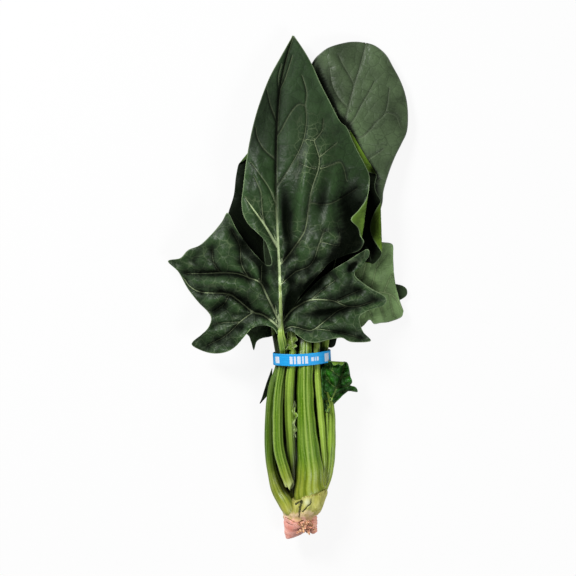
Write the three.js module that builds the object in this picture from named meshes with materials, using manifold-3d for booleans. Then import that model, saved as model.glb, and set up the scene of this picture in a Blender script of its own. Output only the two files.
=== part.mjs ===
// A bunch of spinach lying on its back: one plant cut at the root, its leaves gathered by an elastic band.
// Millimetres. +Z up from the table, +Y along the bunch towards the leaf tips, +X to its right.
// The origin is on the table, under the middle of the bunch's bounding box.
import * as THREE from "three";
import { mergeVertices } from "three/addons/utils/BufferGeometryUtils.js";
import Module from "manifold-3d";

const wasm = await Module();
wasm.setup();

// ---- Driving dimensions -------------------------------------------------------------------------
const BLADE_THICKNESS = 0.9; // a blade with its veins; the lamina between them is thinner
const BLADE_COLUMNS = 4; // faces from the midrib to each margin
const SMALL_BLADE_COLUMNS = 2;
const LAST_ROW = 0.992; // a blade's last row stops just short of its tip, so that it keeps some width
const STEM_SIDES = 8;
const STEM_STEP = 9; // length of one stretch of stem
const STEM_TIP = { width: 4.4, height: 3.4 }; // where a stem meets its blade
const SMALL_STEM_TAPER = 0.8; // a small leaf's stem ends at this share of its last size
const TOUCHING_GAP = 0.3; // room kept between pieces that touch
const CROWN_TOP_Y = -124.8; // where the stem bases join the crown
const STEM_FOOT_Y = CROWN_TOP_Y + TOUCHING_GAP;

// The heap of blades: how high it stands along its middle, and how it falls away to both sides.
const HEAP_BASE_Y = -28; // below this the blades lie at the height of their stems
const HEAP_FULL_Y = 15; // above this they lie in the order of the heap
const HEAP_MIDDLE_X = 3;
const HEAP_HALF_WIDTH = 76;
const HEAP_SIDE_DROP = 0.75; // share of the height that is lost at the sides
const HEAP_SIDE_POWER = 1.8;
const HEAP_PROFILE = [
  [-30, 31],
  [0, 36],
  [30, 39],
  [60, 37],
  [90, 31],
  [120, 22],
  [155, 11],
];

// Humps and hollows of the heap: [x, y, reach along x, reach along y, height].
const HEAP_RELIEF = [
  [22, 55, 9, 30, 5],
  [38, 54, 8, 15, -4],
  [31, 28, 14, 9, 4],
  [-7, 95, 7, 40, -3.5],
  [-22, 62, 10, 26, 2],
  [-40, 4, 17, 13, 4],
  [-24, 24, 9, 12, -3],
  [42, -12, 13, 10, 4],
  [60, 100, 12, 30, 3],
];

const BAND = { x: 8.3, y: -43.4, z: 16, halfWidth: 18.0, halfHeight: 15.6, width: 8.6, thickness: 1.0 };
const BAND_STEPS = 44;
const BAND_SQUARENESS = 2.5; // exponent of the band's superellipse
const BAND_LEAN = THREE.MathUtils.degToRad(5); // the top of the loop sits nearer the root
const BAND_TURN = THREE.MathUtils.degToRad(3); // its right side sits nearer the leaves

// ---- Materials ----------------------------------------------------------------------------------
const finish = (color, roughness) => new THREE.MeshStandardMaterial({ color, roughness, metalness: 0 });
const MATERIALS = {
  blade: finish(0x2f4a26, 0.45),
  paleBlade: finish(0x5d7a45, 0.5),
  stem: finish(0x7d9a3c, 0.4),
  crown: finish(0xc9a27c, 0.55),
  band: finish(0x0ba7ea, 0.5),
};

// ---- Blades -------------------------------------------------------------------------------------
// Each margin is a list of [s, x, y, bend]: s is the share of the midrib's length at which the row of the
// blade that ends at (x, y) begins, and bend is how far the middle of that row bows towards the leaf tip.
// base and level set where the blade lies in the heap: base is its height at the stems, and level its share
// of the heap's height further out. Blades are listed from the table upwards.
const LEAVES = [
  {
    name: "bottom_leaf",
    base: 2.2,
    level: 0.013,
    midrib: [[10.8, -24], [9, 15], [6, 60], [8, 122]],
    left: [
      [0, 8, -24, 0], [0.1, -6, -15, 2], [0.22, -18, 0, 3], [0.4, -22, 30, 4], [0.6, -20, 60, 4],
      [0.8, -12, 92, 3], [0.93, 0, 114, 1], [1, 8, 122, 0],
    ],
    right: [
      [0, 13.6, -24, 0], [0.1, 26, -15, 2], [0.22, 38, 2, 3], [0.4, 44, 30, 4], [0.6, 40, 60, 4],
      [0.8, 30, 92, 3], [0.93, 18, 114, 1], [1, 8, 122, 0],
    ],
  },
  {
    name: "under_left_leaf",
    base: 4.4,
    level: 0.11,
    midrib: [[2, -26], [-3, 10], [-8, 50], [-10, 98]],
    left: [
      [0, -0.8, -25.5, 0], [0.1, -14, -18, 2], [0.2, -27, -4, 3], [0.35, -30, 18, 4], [0.55, -27, 46, 4],
      [0.75, -22, 72, 3], [0.9, -16, 90, 1], [1, -10, 98, 0],
    ],
    right: [
      [0, 4.8, -25.5, 0], [0.1, 12, -14, 2], [0.3, 22, 14, 3], [0.5, 21, 42, 4], [0.7, 14, 68, 3],
      [0.88, 2, 90, 1], [1, -10, 98, 0],
    ],
  },
  {
    name: "lower_right_leaf",
    base: 6.6,
    level: 0.19,
    midrib: [[19, -24], [32, -8], [44, 14], [49, 40], [45, 76]],
    left: [
      [0, 16.5, -22.4, 0], [0.2, 18, 2, 2], [0.4, 24, 28, 3], [0.6, 30, 50, 3], [0.8, 37, 66, 2],
      [1, 45, 76, 0],
    ],
    right: [
      [0, 21.5, -25.5, 0], [0.08, 36, -22, 3], [0.14, 52, -14, 4], [0.2, 66, -8.5, 4],
      [0.25, 73.5, -3, 3], [0.3, 71, 1.6, 2], [0.38, 64, 4, 1], [0.5, 62, 14, 1], [0.62, 58, 26, 1],
      [0.75, 54, 42, 1], [0.88, 50, 62, 0.5], [1, 45, 76, 0],
    ],
  },
  {
    name: "lower_left_leaf",
    base: 8.8,
    level: 0.27,
    midrib: [[-6, -26], [-20, -18], [-36, -2], [-52, 18]],
    left: [
      [0, -8, -28.5, 0], [0.08, -14, -30, 1], [0.15, -21.3, -37.9, 3], [0.22, -24.5, -29, 2],
      [0.4, -36, -22, 2], [0.6, -46, -10, 2], [0.8, -53, 4, 1], [1, -52, 18, 0],
    ],
    right: [
      [0, -5, -23.2, 0], [0.2, -10, -8, 0], [0.45, -22, 14, 0], [0.7, -36, 28, 0], [0.88, -46, 27, 0],
      [1, -52, 18, 0],
    ],
  },
  {
    name: "right_inner_leaf",
    base: 11.2,
    level: 0.35,
    midrib: [[14, -27], [20, 5], [28, 40], [30, 78]],
    left: [
      [0, 11.3, -26.5, 0], [0.15, 4, -10, 2], [0.35, 0, 16, 3], [0.55, 4, 42, 3], [0.75, 14, 64, 2],
      [0.9, 23, 75, 1], [1, 30, 78, 0],
    ],
    right: [
      [0, 16.7, -27.5, 0], [0.04, 23, -33, 1.5], [0.08, 28.5, -35.5, 3], [0.13, 30.5, -29, 2],
      [0.2, 36, -14, 2], [0.35, 46, 8, 3], [0.55, 50, 34, 3], [0.75, 46, 58, 2], [0.9, 38, 73, 1],
      [1, 30, 78, 0],
    ],
  },
  {
    name: "pale_right_leaf",
    base: 14.2,
    level: 0.44,
    material: "paleBlade",
    midrib: [[24.5, -20], [38, -10], [52, -3], [64, -4], [71.4, -14]],
    left: [
      [0, 22.5, -17.5, 0], [0.15, 26, 2, 0], [0.35, 40, 20, 0], [0.5, 50, 29, 0], [0.6, 58.2, 28.6, 0],
      [0.68, 64.1, 27.2, 0], [0.76, 65, 15, 0], [0.84, 66, 4, 0], [0.93, 68.8, -7, 0], [1, 71.4, -14, 0],
    ],
    right: [
      [0, 26.5, -22.5, 0], [0.2, 36, -26, 1], [0.4, 45, -24, 1], [0.52, 51, -20.5, 0.5],
      [0.62, 55, -21.7, 0.5], [0.78, 62.3, -20.7, 0], [0.92, 69.8, -17.8, 0], [1, 71.4, -14, 0],
    ],
  },
  {
    name: "left_leaf",
    base: 16.4,
    level: 0.52,
    midrib: [[-9, -22], [-15, 10], [-19, 50], [-16, 85], [-6, 118]],
    left: [
      [0, -11.5, -21.5, 0], [0.12, -22, -8, 2], [0.25, -34, 12, 3], [0.38, -39, 34, 3],
      [0.46, -37.3, 46, 3], [0.54, -33.8, 57.6, 3], [0.62, -32.3, 69.9, 2], [0.7, -29.9, 81, 2],
      [0.76, -25, 88.6, 1], [0.88, -16, 105, 1], [1, -6, 118, 0],
    ],
    right: [
      [0, -6.5, -21.8, 0], [0.25, -3, 5, 1], [0.46, 3, 36, 3], [0.7, 8, 70, 3], [0.88, 4, 100, 1],
      [1, -6, 118, 0],
    ],
  },
  {
    name: "middle_leaf",
    base: 18.6,
    level: 0.61,
    midrib: [[2, -24], [6, 10], [12, 50], [15, 90], [12, 118]],
    left: [
      [0, -0.4, -23.6, 0], [0.12, -8, -8, 2], [0.3, -15, 20, 3], [0.5, -14, 50, 4], [0.7, -9, 82, 3],
      [0.88, 0, 108, 1], [1, 12, 118, 0],
    ],
    right: [
      [0, 4.4, -23.6, 0], [0.12, 14, -10, 2], [0.3, 28, 16, 3], [0.5, 36, 46, 4], [0.7, 34, 78, 3],
      [0.88, 24, 106, 1], [1, 12, 118, 0],
    ],
  },
  {
    name: "tall_round_leaf",
    base: 21.8,
    level: 0.71,
    midrib: [[10.5, -20], [14, 15], [24, 60], [36, 102], [42.8, 128], [47, 151.2]],
    left: [
      [0, 8.0, -20, 0], [0.15, 7, 8, 0], [0.3, 6, 38, 2], [0.42, 7, 65, 4], [0.54, 9, 92, 4],
      [0.66, 12.5, 117, 4], [0.77, 17.6, 138, 4], [0.86, 26, 147.6, 3], [0.94, 36, 150.8, 2],
      [1, 47, 151.2, 0],
    ],
    right: [
      [0, 13.0, -20, 0], [0.15, 22, 2, 0], [0.3, 38, 20, 2], [0.42, 54, 42, 3], [0.5, 59.5, 62, 3],
      [0.58, 66.5, 82, 3], [0.66, 72.2, 99, 3], [0.74, 72.9, 112, 3], [0.82, 69.5, 127, 3],
      [0.9, 61.5, 142.5, 2], [0.96, 54, 149, 1], [1, 47, 151.2, 0],
    ],
  },
  {
    name: "folded_right_leaf",
    base: 24.6,
    level: 0.82,
    midrib: [[17.5, -22], [26, 5], [33, 40], [34, 75], [28, 112]],
    left: [
      [0, 15.5, -21.4, 0], [0.15, 10, 5, 2], [0.35, 8, 35, 3], [0.55, 9, 65, 3], [0.75, 14, 92, 2],
      [0.9, 22, 107, 1], [1, 28, 112, 0],
    ],
    right: [
      [0, 19.5, -22.6, 0], [0.1, 30, -8, 1], [0.2, 42, 6, 2], [0.3, 53.3, 16.3, 2], [0.38, 57, 26, 1],
      [0.48, 57.6, 38, 1], [0.58, 55.2, 52, 1], [0.68, 53.5, 66, 1], [0.78, 46.5, 83, 1],
      [0.88, 38, 97.6, 0.5], [1, 28, 112, 0],
    ],
  },
  {
    name: "front_leaf",
    base: 29.8,
    level: 1,
    midrib: [
      [-4.6, -28.6], [-5.2, 0], [-6.5, 30], [-7.7, 58], [-7.6, 92], [-5.6, 122], [-1.8, 140],
      [2.8, 154.9],
    ],
    left: [
      [0, -7, -27.4, 0], [0.012, -16.3, -22.5, 1], [0.022, -25.6, -27.4, 5], [0.032, -38.5, -39.1, 9],
      [0.045, -59.4, -34.2, 7], [0.06, -47.7, -18.8, 4], [0.075, -62.5, 0.3, 3], [0.095, -73.6, 16.9, 2],
      [0.11, -61.9, 23.7, 1], [0.125, -47.1, 33.6, 0], [0.145, -37.3, 46.5, -1], [0.18, -24, 31, 0],
      [0.22, -11.5, 15.5, 0], [0.285, -17.6, 33.2, 1], [0.33, -27.2, 42.5, 2], [0.4, -28.8, 52, 3],
      [0.52, -26.2, 76, 4], [0.66, -20.6, 105, 4], [0.82, -10, 132.5, 2], [0.93, -2.5, 146, 1],
      [1, 2.8, 154.9, 0],
    ],
    right: [
      [0, -2.2, -27.4, 0], [0.007, 6.5, -29.3, 1.5], [0.014, 16.9, -33.2, 4], [0.022, 33.6, -30.5, 5],
      [0.032, 50.2, -32.3, 6], [0.042, 44, -20, 3], [0.05, 58.8, -10.2, 2], [0.056, 59.4, -5.2, 1],
      [0.063, 49.3, 0.9, 0], [0.07, 37, 11, -2], [0.078, 26, 5, -1], [0.088, 14, -4, 0],
      [0.1, 3.5, -13, 0], [0.15, 9.5, -2, 0], [0.19, 18.2, 8, 0], [0.24, 27, 15, 1], [0.29, 37, 19.5, 2],
      [0.34, 47, 24, 2], [0.4, 49.8, 36, 3], [0.5, 50, 62, 4], [0.6, 42.5, 88, 4], [0.66, 35.5, 99, 3],
      [0.72, 30, 105.5, 3], [0.82, 20, 125, 2], [0.93, 9, 146, 1], [1, 2.8, 154.9, 0],
    ],
  },
];

// Small leaves that stand clear of the heap: [x, y, z, slope along x, slope along y] sets the plane of each.
const SMALL_LEAVES = [
  {
    name: "side_leaf",
    plane: [23, -76, 22.6, -0.42, 0.02],
    midrib: [[23.6, -76], [28, -65], [32.5, -55], [34.8, -46]],
    left: [
      [0, 22.9, -75.6, 0], [0.3, 22.6, -64, 0], [0.6, 22.3, -55.5, 0], [0.85, 26.5, -49, 0],
      [1, 34.8, -46, 0],
    ],
    right: [
      [0, 24.4, -76, 0], [0.2, 30.5, -69.5, 0], [0.4, 37.5, -63.8, 0], [0.52, 42.2, -63.6, 0],
      [0.66, 38.4, -58.6, 0], [0.8, 38.4, -54, 0], [1, 34.8, -46, 0],
    ],
  },
  {
    name: "young_leaf",
    plane: [4.2, -36, 25.4, 0, 0.06],
    midrib: [[4.2, -36], [2.8, -28], [1, -18]],
    left: [[0, 3.4, -35.8, 0], [0.4, 0.4, -30, 0], [0.7, -0.6, -24, 0], [1, 1, -18, 0]],
    right: [[0, 5, -35.8, 0], [0.4, 5.4, -29, 0], [0.7, 4.3, -23, 0], [1, 1, -18, 0]],
  },
  {
    name: "curled_leaf",
    plane: [3.8, -92, 23.4, 0.1, 0.05],
    midrib: [[3.8, -92], [3.9, -81], [3.6, -70]],
    left: [[0, 3.2, -91.8, 0], [0.5, 2.5, -81, 0], [1, 3.6, -70, 0]],
    right: [[0, 4.4, -91.8, 0], [0.5, 5.1, -81, 0], [1, 3.6, -70, 0]],
  },
  {
    name: "left_small_leaf",
    plane: [-11, -66, 9.4, 0.02, 0],
    midrib: [[-12, -66], [-11.4, -58], [-10.2, -49.6]],
    left: [
      [0, -13.2, -65.9, 0], [0.12, -17.6, -71.1, 0], [0.3, -15.4, -64, 0], [0.6, -12.8, -56.4, 0],
      [1, -10.2, -49.6, 0],
    ],
    right: [[0, -10.9, -66.1, 0], [0.5, -10.4, -58, 0], [1, -10.2, -49.6, 0]],
  },
];

const { lerp, smoothstep } = THREE.MathUtils;

// A smooth curve through points of [x, y] or [x, y, z].
function smoothCurve(points) {
  const vectors = points.map(([x, y, z = 0]) => new THREE.Vector3(x, y, z));
  return new THREE.CatmullRomCurve3(vectors, false, "catmullrom", 0.5);
}

// Height of the heap's middle at y, on straight stretches between the points of its profile.
function heapMiddle(y) {
  const next = HEAP_PROFILE.findIndex(([at]) => at > y);
  if (next === 0) return HEAP_PROFILE[0][1];
  if (next < 0) return HEAP_PROFILE.at(-1)[1];
  const [[y0, z0], [y1, z1]] = HEAP_PROFILE.slice(next - 1, next + 1);
  return lerp(z0, z1, (y - y0) / (y1 - y0));
}

// Share of the height that is left at x, away from the heap's middle.
function heapSide(x) {
  const away = Math.abs(x - HEAP_MIDDLE_X) / HEAP_HALF_WIDTH;
  return 1 - HEAP_SIDE_DROP * Math.min(away, 1) ** HEAP_SIDE_POWER;
}

// What the humps and hollows add to the height at (x, y).
function heapRelief(x, y) {
  return HEAP_RELIEF.reduce((sum, [middleX, middleY, reachX, reachY, height]) => {
    const away = ((x - middleX) / reachX) ** 2 + ((y - middleY) / reachY) ** 2;
    return sum + height * Math.exp(-away);
  }, 0);
}

// Height of the middle of a blade's thickness at (x, y). In the heap the order of the blades never changes.
function bladeHeight(leaf, x, y) {
  if (leaf.plane) {
    const [x0, y0, z0, alongX, alongY] = leaf.plane;
    return z0 + alongX * (x - x0) + alongY * (y - y0);
  }
  const inHeap = smoothstep(y, HEAP_BASE_Y, HEAP_FULL_Y);
  const top = heapMiddle(y) + heapRelief(x, y);
  const height = lerp(leaf.base, leaf.level * top, inHeap) * heapSide(x);
  return Math.max(height, BLADE_THICKNESS / 2);
}

// A margin as a function of s: a smooth curve through its points, with s and bend on straight stretches.
function marginAt(points, s) {
  const curve = smoothCurve(points.map(([, x, y]) => [x, y]));
  const k = Math.min(points.findLastIndex(([at]) => at <= s), points.length - 2);
  const share = (s - points[k][0]) / (points[k + 1][0] - points[k][0]);
  const found = curve.getPoint((k + share) / (points.length - 1));
  return { x: found.x, y: found.y, bend: lerp(points[k][3], points[k + 1][3], share) };
}

// The point of the row from the midrib at s to the margin, a share r of the way out, bowed towards the tip.
function rowPoint(leaf, root, ahead, margin, r) {
  const along = [margin.x - root.x, margin.y - root.y];
  const length = Math.hypot(...along) || 1;
  const normal = [-along[1] / length, along[0] / length];
  const towardsTip = Math.sign(normal[0] * ahead.x + normal[1] * ahead.y) || 1;
  const bow = 4 * r * (1 - r) * margin.bend * towardsTip;
  const x = root.x + along[0] * r + normal[0] * bow;
  const y = root.y + along[1] * r + normal[1] * bow;
  return [x, y, bladeHeight(leaf, x, y)];
}

// A closed blade: rows across it from margin to margin, a top and a bottom skin, and a wall round the edge.
function bladeGeometry(leaf) {
  const midrib = smoothCurve(leaf.midrib);
  const shares = [...leaf.left, ...leaf.right].map(([s]) => Math.min(s, LAST_ROW));
  const rows = [...new Set(shares)].sort((a, b) => a - b);
  const columns = leaf.plane ? SMALL_BLADE_COLUMNS : BLADE_COLUMNS;
  const grid = rows.map((s) => {
    const root = midrib.getPointAt(s);
    const ahead = midrib.getTangentAt(s);
    const left = marginAt(leaf.left, s);
    const right = marginAt(leaf.right, s);
    const row = [];
    for (let i = -columns; i <= columns; i++) {
      row.push(rowPoint(leaf, root, ahead, i < 0 ? left : right, Math.abs(i) / columns));
    }
    return row;
  });
  return sheetGeometry(grid, BLADE_THICKNESS);
}

// A sheet of even thickness, measured upwards, round a grid of points whose rows run from left to right.
function sheetGeometry(grid, thickness) {
  const height = grid.length;
  const width = grid[0].length;
  const skin = (lift) => grid.flat().map(([x, y, z]) => [x, y, z + lift]);
  const positions = [...skin(thickness / 2), ...skin(-thickness / 2)].flat();
  const top = (i, j) => i * width + j;
  const bottom = (i, j) => height * width + top(i, j);
  const faces = [];
  const quad = (a, b, c, d) => faces.push(a, b, c, a, c, d);
  for (let i = 0; i < height - 1; i++) {
    for (let j = 0; j < width - 1; j++) {
      quad(top(i, j), top(i, j + 1), top(i + 1, j + 1), top(i + 1, j));
      quad(bottom(i, j), bottom(i + 1, j), bottom(i + 1, j + 1), bottom(i, j + 1));
    }
    quad(top(i, 0), top(i + 1, 0), bottom(i + 1, 0), bottom(i, 0));
    quad(top(i + 1, width - 1), top(i, width - 1), bottom(i, width - 1), bottom(i + 1, width - 1));
  }
  for (let j = 0; j < width - 1; j++) {
    quad(top(0, j + 1), top(0, j), bottom(0, j), bottom(0, j + 1));
    quad(top(height - 1, j), top(height - 1, j + 1), bottom(height - 1, j + 1), bottom(height - 1, j));
  }
  return indexed(positions, faces);
}

function indexed(positions, faces) {
  const geometry = new THREE.BufferGeometry();
  geometry.setAttribute("position", new THREE.Float32BufferAttribute(positions, 3));
  geometry.setIndex(Array.from(faces));
  geometry.computeVertexNormals();
  return geometry;
}

// ---- Stems --------------------------------------------------------------------------------------
// Each stem is a list of [x, y, z, width, height] from the crown towards the band, and ends at the base of
// its blade. The front leaf's stem has snapped off short of the crown.
const STEMS = {
  left_leaf: [
    [-6.5, STEM_FOOT_Y, 13.5, 6, 6.6], [-10, -112, 13, 6.4, 6.6], [-11, -98, 14, 6.6, 7],
    [-11, -80, 14.4, 6.6, 7], [-9, -62, 14.8, 6.4, 7], [-5.5, -49, 15, 5.6, 6.4],
    [-4.8, -43, 15, 5.4, 6.2],
  ],
  front_leaf: [
    [0.5, -121.5, 22.6, 6, 5.4], [-2.5, -112, 23, 6.4, 6], [-6, -98, 22.6, 6.4, 6.2],
    [-6.6, -80, 22.4, 6.2, 6.2], [-5.6, -62, 22.2, 6, 6], [-2.8, -43, 22, 5.6, 5.6],
  ],
  middle_leaf: [
    [2.6, STEM_FOOT_Y, 17.2, 5.4, 5.6], [1.8, -112, 17.4, 5.4, 5.6], [0.7, -98, 19, 5.4, 5.6],
    [0, -80, 20.8, 5.4, 5.6], [0.8, -62, 23.2, 5.2, 5.6], [2.5, -43, 25.6, 4.8, 5.2],
    [2.7, -36, 21.8, 4.4, 4.4],
  ],
  tall_round_leaf: [
    [11.5, STEM_FOOT_Y, 23.5, 16, 8], [13.4, -112, 24, 15.6, 8], [12, -98, 25, 13, 7.6],
    [10.8, -80, 26, 10.6, 7.4], [10.2, -62, 26.2, 9.6, 7], [10.4, -43, 26.2, 8.6, 6.4],
  ],
  folded_right_leaf: [
    [20.6, STEM_FOOT_Y, 18.2, 5.2, 6], [22.4, -112, 18, 5.2, 6], [22, -98, 21, 5.2, 6],
    [20.2, -80, 23.2, 5.2, 6], [18.6, -62, 24.2, 5, 5.8], [17.4, -43, 23.8, 4.6, 5.4],
  ],
  pale_right_leaf: [
    [21, STEM_FOOT_Y, 11.6, 5.6, 5.8], [24.6, -112, 11.2, 6, 6], [25.6, -98, 14, 6.2, 6.2],
    [25.6, -80, 15.6, 6.2, 6.2], [24, -62, 16.4, 6, 6], [21.8, -43, 16.8, 5.4, 5.8],
  ],
  lower_left_leaf: [
    [-3.2, STEM_FOOT_Y, 6.2, 6, 5.8], [-6, -112, 5.6, 6.4, 6.2], [-7.8, -98, 6.4, 6.4, 6.4],
    [-7.8, -80, 6.8, 6.4, 6.4], [-6, -62, 7.4, 6.2, 6.2], [-2.6, -43, 8.3, 5.8, 5.8],
  ],
  under_left_leaf: [
    [3.6, STEM_FOOT_Y, 3.9, 6.6, 6.4], [2.2, -112, 3.4, 7, 6.4], [0.8, -98, 3.3, 7.2, 6.4],
    [0.4, -80, 3.4, 7.2, 6.4], [1.4, -62, 3.9, 7, 6.4], [3.7, -43, 4.9, 6.6, 6.2],
  ],
  bottom_leaf: [
    [10.8, STEM_FOOT_Y, 3.9, 6.8, 6.4], [10.6, -112, 3.3, 7.2, 6.4], [10.6, -98, 3.2, 7.2, 6.2],
    [10.6, -80, 3.2, 7.2, 6.2], [10.8, -62, 3.9, 7, 6.2], [11, -43, 5.3, 6.6, 5.8],
    [11, -36, 5.2, 6.2, 5.2],
  ],
  lower_right_leaf: [
    [17.8, STEM_FOOT_Y, 5.9, 6, 5.8], [18.4, -112, 4.8, 6.4, 6.2], [19.2, -98, 4.8, 6.4, 6.2],
    [19.2, -80, 5, 6.4, 6.2], [18.6, -62, 5.8, 6.2, 6.2], [18, -43, 7.1, 5.8, 5.8],
  ],
  right_inner_leaf: [
    [9.5, STEM_FOOT_Y, 11.5, 6, 6], [10, -112, 12, 6.6, 6.6], [10.5, -98, 12.8, 6.8, 6.8],
    [11, -80, 13.4, 6.8, 6.8], [11.8, -62, 14, 6.8, 6.8], [12.6, -43, 14.4, 6.6, 6.6],
  ],
  side_leaf: [
    [24, STEM_FOOT_Y, 15.4, 2.4, 2.4], [26.4, -112, 17, 2.4, 2.4], [26.2, -98, 20.6, 2.4, 2.4],
    [24.6, -84, 21.8, 2.4, 2.4],
  ],
  young_leaf: [
    [3, STEM_FOOT_Y, 10.6, 3, 3], [3, -98, 12.4, 3, 3], [4.2, -62, 15.4, 2.8, 2.8],
    [5.6, -43, 19.2, 2.2, 2.2], [6.2, -39, 22.3, 1.8, 1.8],
  ],
  curled_leaf: [
    [6.6, STEM_FOOT_Y, 17, 1.6, 1.6], [5.2, -112, 19.6, 1.6, 1.6], [4.1, -100, 21.8, 1.6, 1.6],
  ],
  left_small_leaf: [
    [-8.4, STEM_FOOT_Y, 8.3, 2.2, 2.2], [-11.4, -112, 7.8, 2.4, 2.4], [-13, -98, 8.2, 2.4, 2.4],
    [-13, -80, 8.6, 2.2, 2.2],
  ],
};

// A closed tube of elliptical rings along a smooth curve through the stem's points. Every ring stands upright
// and across the stem. The first faces along Y, to lie flat on the crown, and the last along the midrib.
function stemGeometry(leaf) {
  const points = STEMS[leaf.name];
  const [[baseX, baseY], [nextX, nextY]] = leaf.midrib;
  const back = TOUCHING_GAP / Math.hypot(nextX - baseX, nextY - baseY);
  const small = leaf.plane !== undefined;
  const last = points.at(-1);
  const end = [
    baseX - (nextX - baseX) * back,
    baseY - (nextY - baseY) * back,
    bladeHeight(leaf, baseX, baseY),
    small ? last[3] * SMALL_STEM_TAPER : STEM_TIP.width,
    small ? last[4] * SMALL_STEM_TAPER : STEM_TIP.height,
  ];
  const whole = [...points, end];
  const path = smoothCurve(whole.map(([x, y, z]) => [x, y, z]));
  const size = smoothCurve(whole.map(([, , , width, height]) => [width, height]));
  const steps = Math.ceil(path.getLength() / STEM_STEP);
  const rings = [];
  for (let i = 0; i <= steps; i++) {
    const at = path.getPoint(i / steps);
    const { x: width, y: height } = size.getPoint(i / steps);
    let heading = path.getTangent(i / steps);
    if (i === 0) heading = new THREE.Vector3(0, 1, 0);
    if (i === steps) heading = new THREE.Vector3(nextX - baseX, nextY - baseY, 0);
    rings.push(ellipseRing(at, width / 2, height / 2, STEM_SIDES, Math.atan2(-heading.x, heading.y)));
  }
  return loftGeometry(rings);
}

// Points round an upright ellipse that faces along Y, or along Y turned about Z, in the order +X to +Z.
function ellipseRing(centre, halfWidth, halfHeight, sides, heading = 0) {
  return Array.from({ length: sides }, (_, k) => {
    const turn = (2 * Math.PI * k) / sides;
    const across = halfWidth * Math.cos(turn);
    return [
      centre.x + across * Math.cos(heading),
      centre.y + across * Math.sin(heading),
      centre.z + halfHeight * Math.sin(turn),
    ];
  });
}

// A closed solid through rings of equal point counts, listed towards +Y, with a fan over each end.
function loftGeometry(rings) {
  const sides = rings[0].length;
  const mean = (ring, axis) => ring.reduce((sum, point) => sum + point[axis], 0) / sides;
  const middle = (ring) => [mean(ring, 0), mean(ring, 1), mean(ring, 2)];
  const positions = [...rings.flat(), middle(rings[0]), middle(rings.at(-1))].flat();
  const first = rings.length * sides;
  const faces = [];
  for (let k = 0; k < sides; k++) {
    const next = (k + 1) % sides;
    for (let i = 0; i < rings.length - 1; i++) {
      const a = i * sides + k;
      const b = i * sides + next;
      faces.push(a, a + sides, b, b, a + sides, b + sides);
    }
    const end = (rings.length - 1) * sides;
    faces.push(first, k, next);
    faces.push(first + 1, end + next, end + k);
  }
  return indexed(positions, faces);
}

// ---- Crown --------------------------------------------------------------------------------------
// The fleshy crown, from the cut end of the root to the stem bases.
// Each ring is [y, centre x, centre z, half width, half height].
const CROWN_RINGS = [
  [-154.8, 1.6, 13.4, 1.6, 2.2],
  [-153, 2.6, 13.4, 4.6, 5.2],
  [-149.5, 4, 13.6, 7.4, 7.8],
  [-145.5, 6.4, 13.8, 10, 9.6],
  [-142, 7.6, 13.9, 11.2, 10.2],
  [-139.5, 8, 14, 11.4, 10.8],
  [-135, 8, 14.2, 13.6, 12.6],
  [-130, 7.6, 14.4, 15.8, 13.8],
  [CROWN_TOP_Y, 7.3, 14.5, 17.2, 14.5],
];
const CROWN_SIDES = 20;
const SIDE_ROOT = { at: [15.6, -146, 13], radii: [3.5, 6.4, 4], sides: 14 }; // stump of a thinner root

function asSolid(geometry) {
  const bare = geometry.clone();
  bare.deleteAttribute("normal");
  bare.deleteAttribute("uv");
  const merged = mergeVertices(bare, 1e-4);
  return new wasm.Manifold(
    new wasm.Mesh({
      numProp: 3,
      vertProperties: merged.attributes.position.array,
      triVerts: new Uint32Array(merged.index.array),
    }),
  );
}

function crownGeometry() {
  const rings = CROWN_RINGS.map(([y, x, z, halfWidth, halfHeight]) =>
    ellipseRing(new THREE.Vector3(x, y, z), halfWidth, halfHeight, CROWN_SIDES),
  );
  const ball = new THREE.SphereGeometry(1, SIDE_ROOT.sides, SIDE_ROOT.sides);
  const stump = ball.scale(...SIDE_ROOT.radii).translate(...SIDE_ROOT.at);
  const mesh = asSolid(loftGeometry(rings)).add(asSolid(stump)).getMesh();
  return indexed(mesh.vertProperties, mesh.triVerts);
}

// ---- Elastic band -------------------------------------------------------------------------------
// A closed strip round the stems: a superellipse ring, extruded by the width of the band.
function bandGeometry() {
  const flatten = (value) => Math.sign(value) * Math.abs(value) ** (2 / BAND_SQUARENESS);
  const loop = (inset) =>
    Array.from({ length: BAND_STEPS }, (_, k) => {
      const turn = (2 * Math.PI * k) / BAND_STEPS;
      return new THREE.Vector2(
        (BAND.halfWidth - inset) * flatten(Math.cos(turn)),
        (BAND.halfHeight - inset) * flatten(Math.sin(turn)),
      );
    });
  const ring = new THREE.Shape(loop(0));
  ring.holes.push(new THREE.Path(loop(BAND.thickness)));
  return new THREE.ExtrudeGeometry(ring, { depth: BAND.width, bevelEnabled: false, steps: 2 })
    .translate(0, 0, -BAND.width / 2)
    .rotateX(Math.PI / 2);
}

// ---- The bunch ----------------------------------------------------------------------------------
const bunch = new THREE.Group();
bunch.name = "spinach_bunch";

function addMesh(name, geometry, material) {
  const mesh = new THREE.Mesh(geometry, MATERIALS[material]);
  mesh.name = name;
  bunch.add(mesh);
  return mesh;
}

for (const leaf of [...LEAVES, ...SMALL_LEAVES]) {
  addMesh(leaf.name, bladeGeometry(leaf), leaf.material ?? "blade");
  addMesh(leaf.name.replace(/leaf$/, "stem"), stemGeometry(leaf), "stem");
}
addMesh("root_crown", crownGeometry(), "crown");

const band = addMesh("elastic_band", bandGeometry(), "band");
band.position.set(BAND.x, BAND.y, BAND.z);
band.rotation.set(BAND_LEAN, 0, BAND_TURN);

export default bunch;
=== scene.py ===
import math

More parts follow.
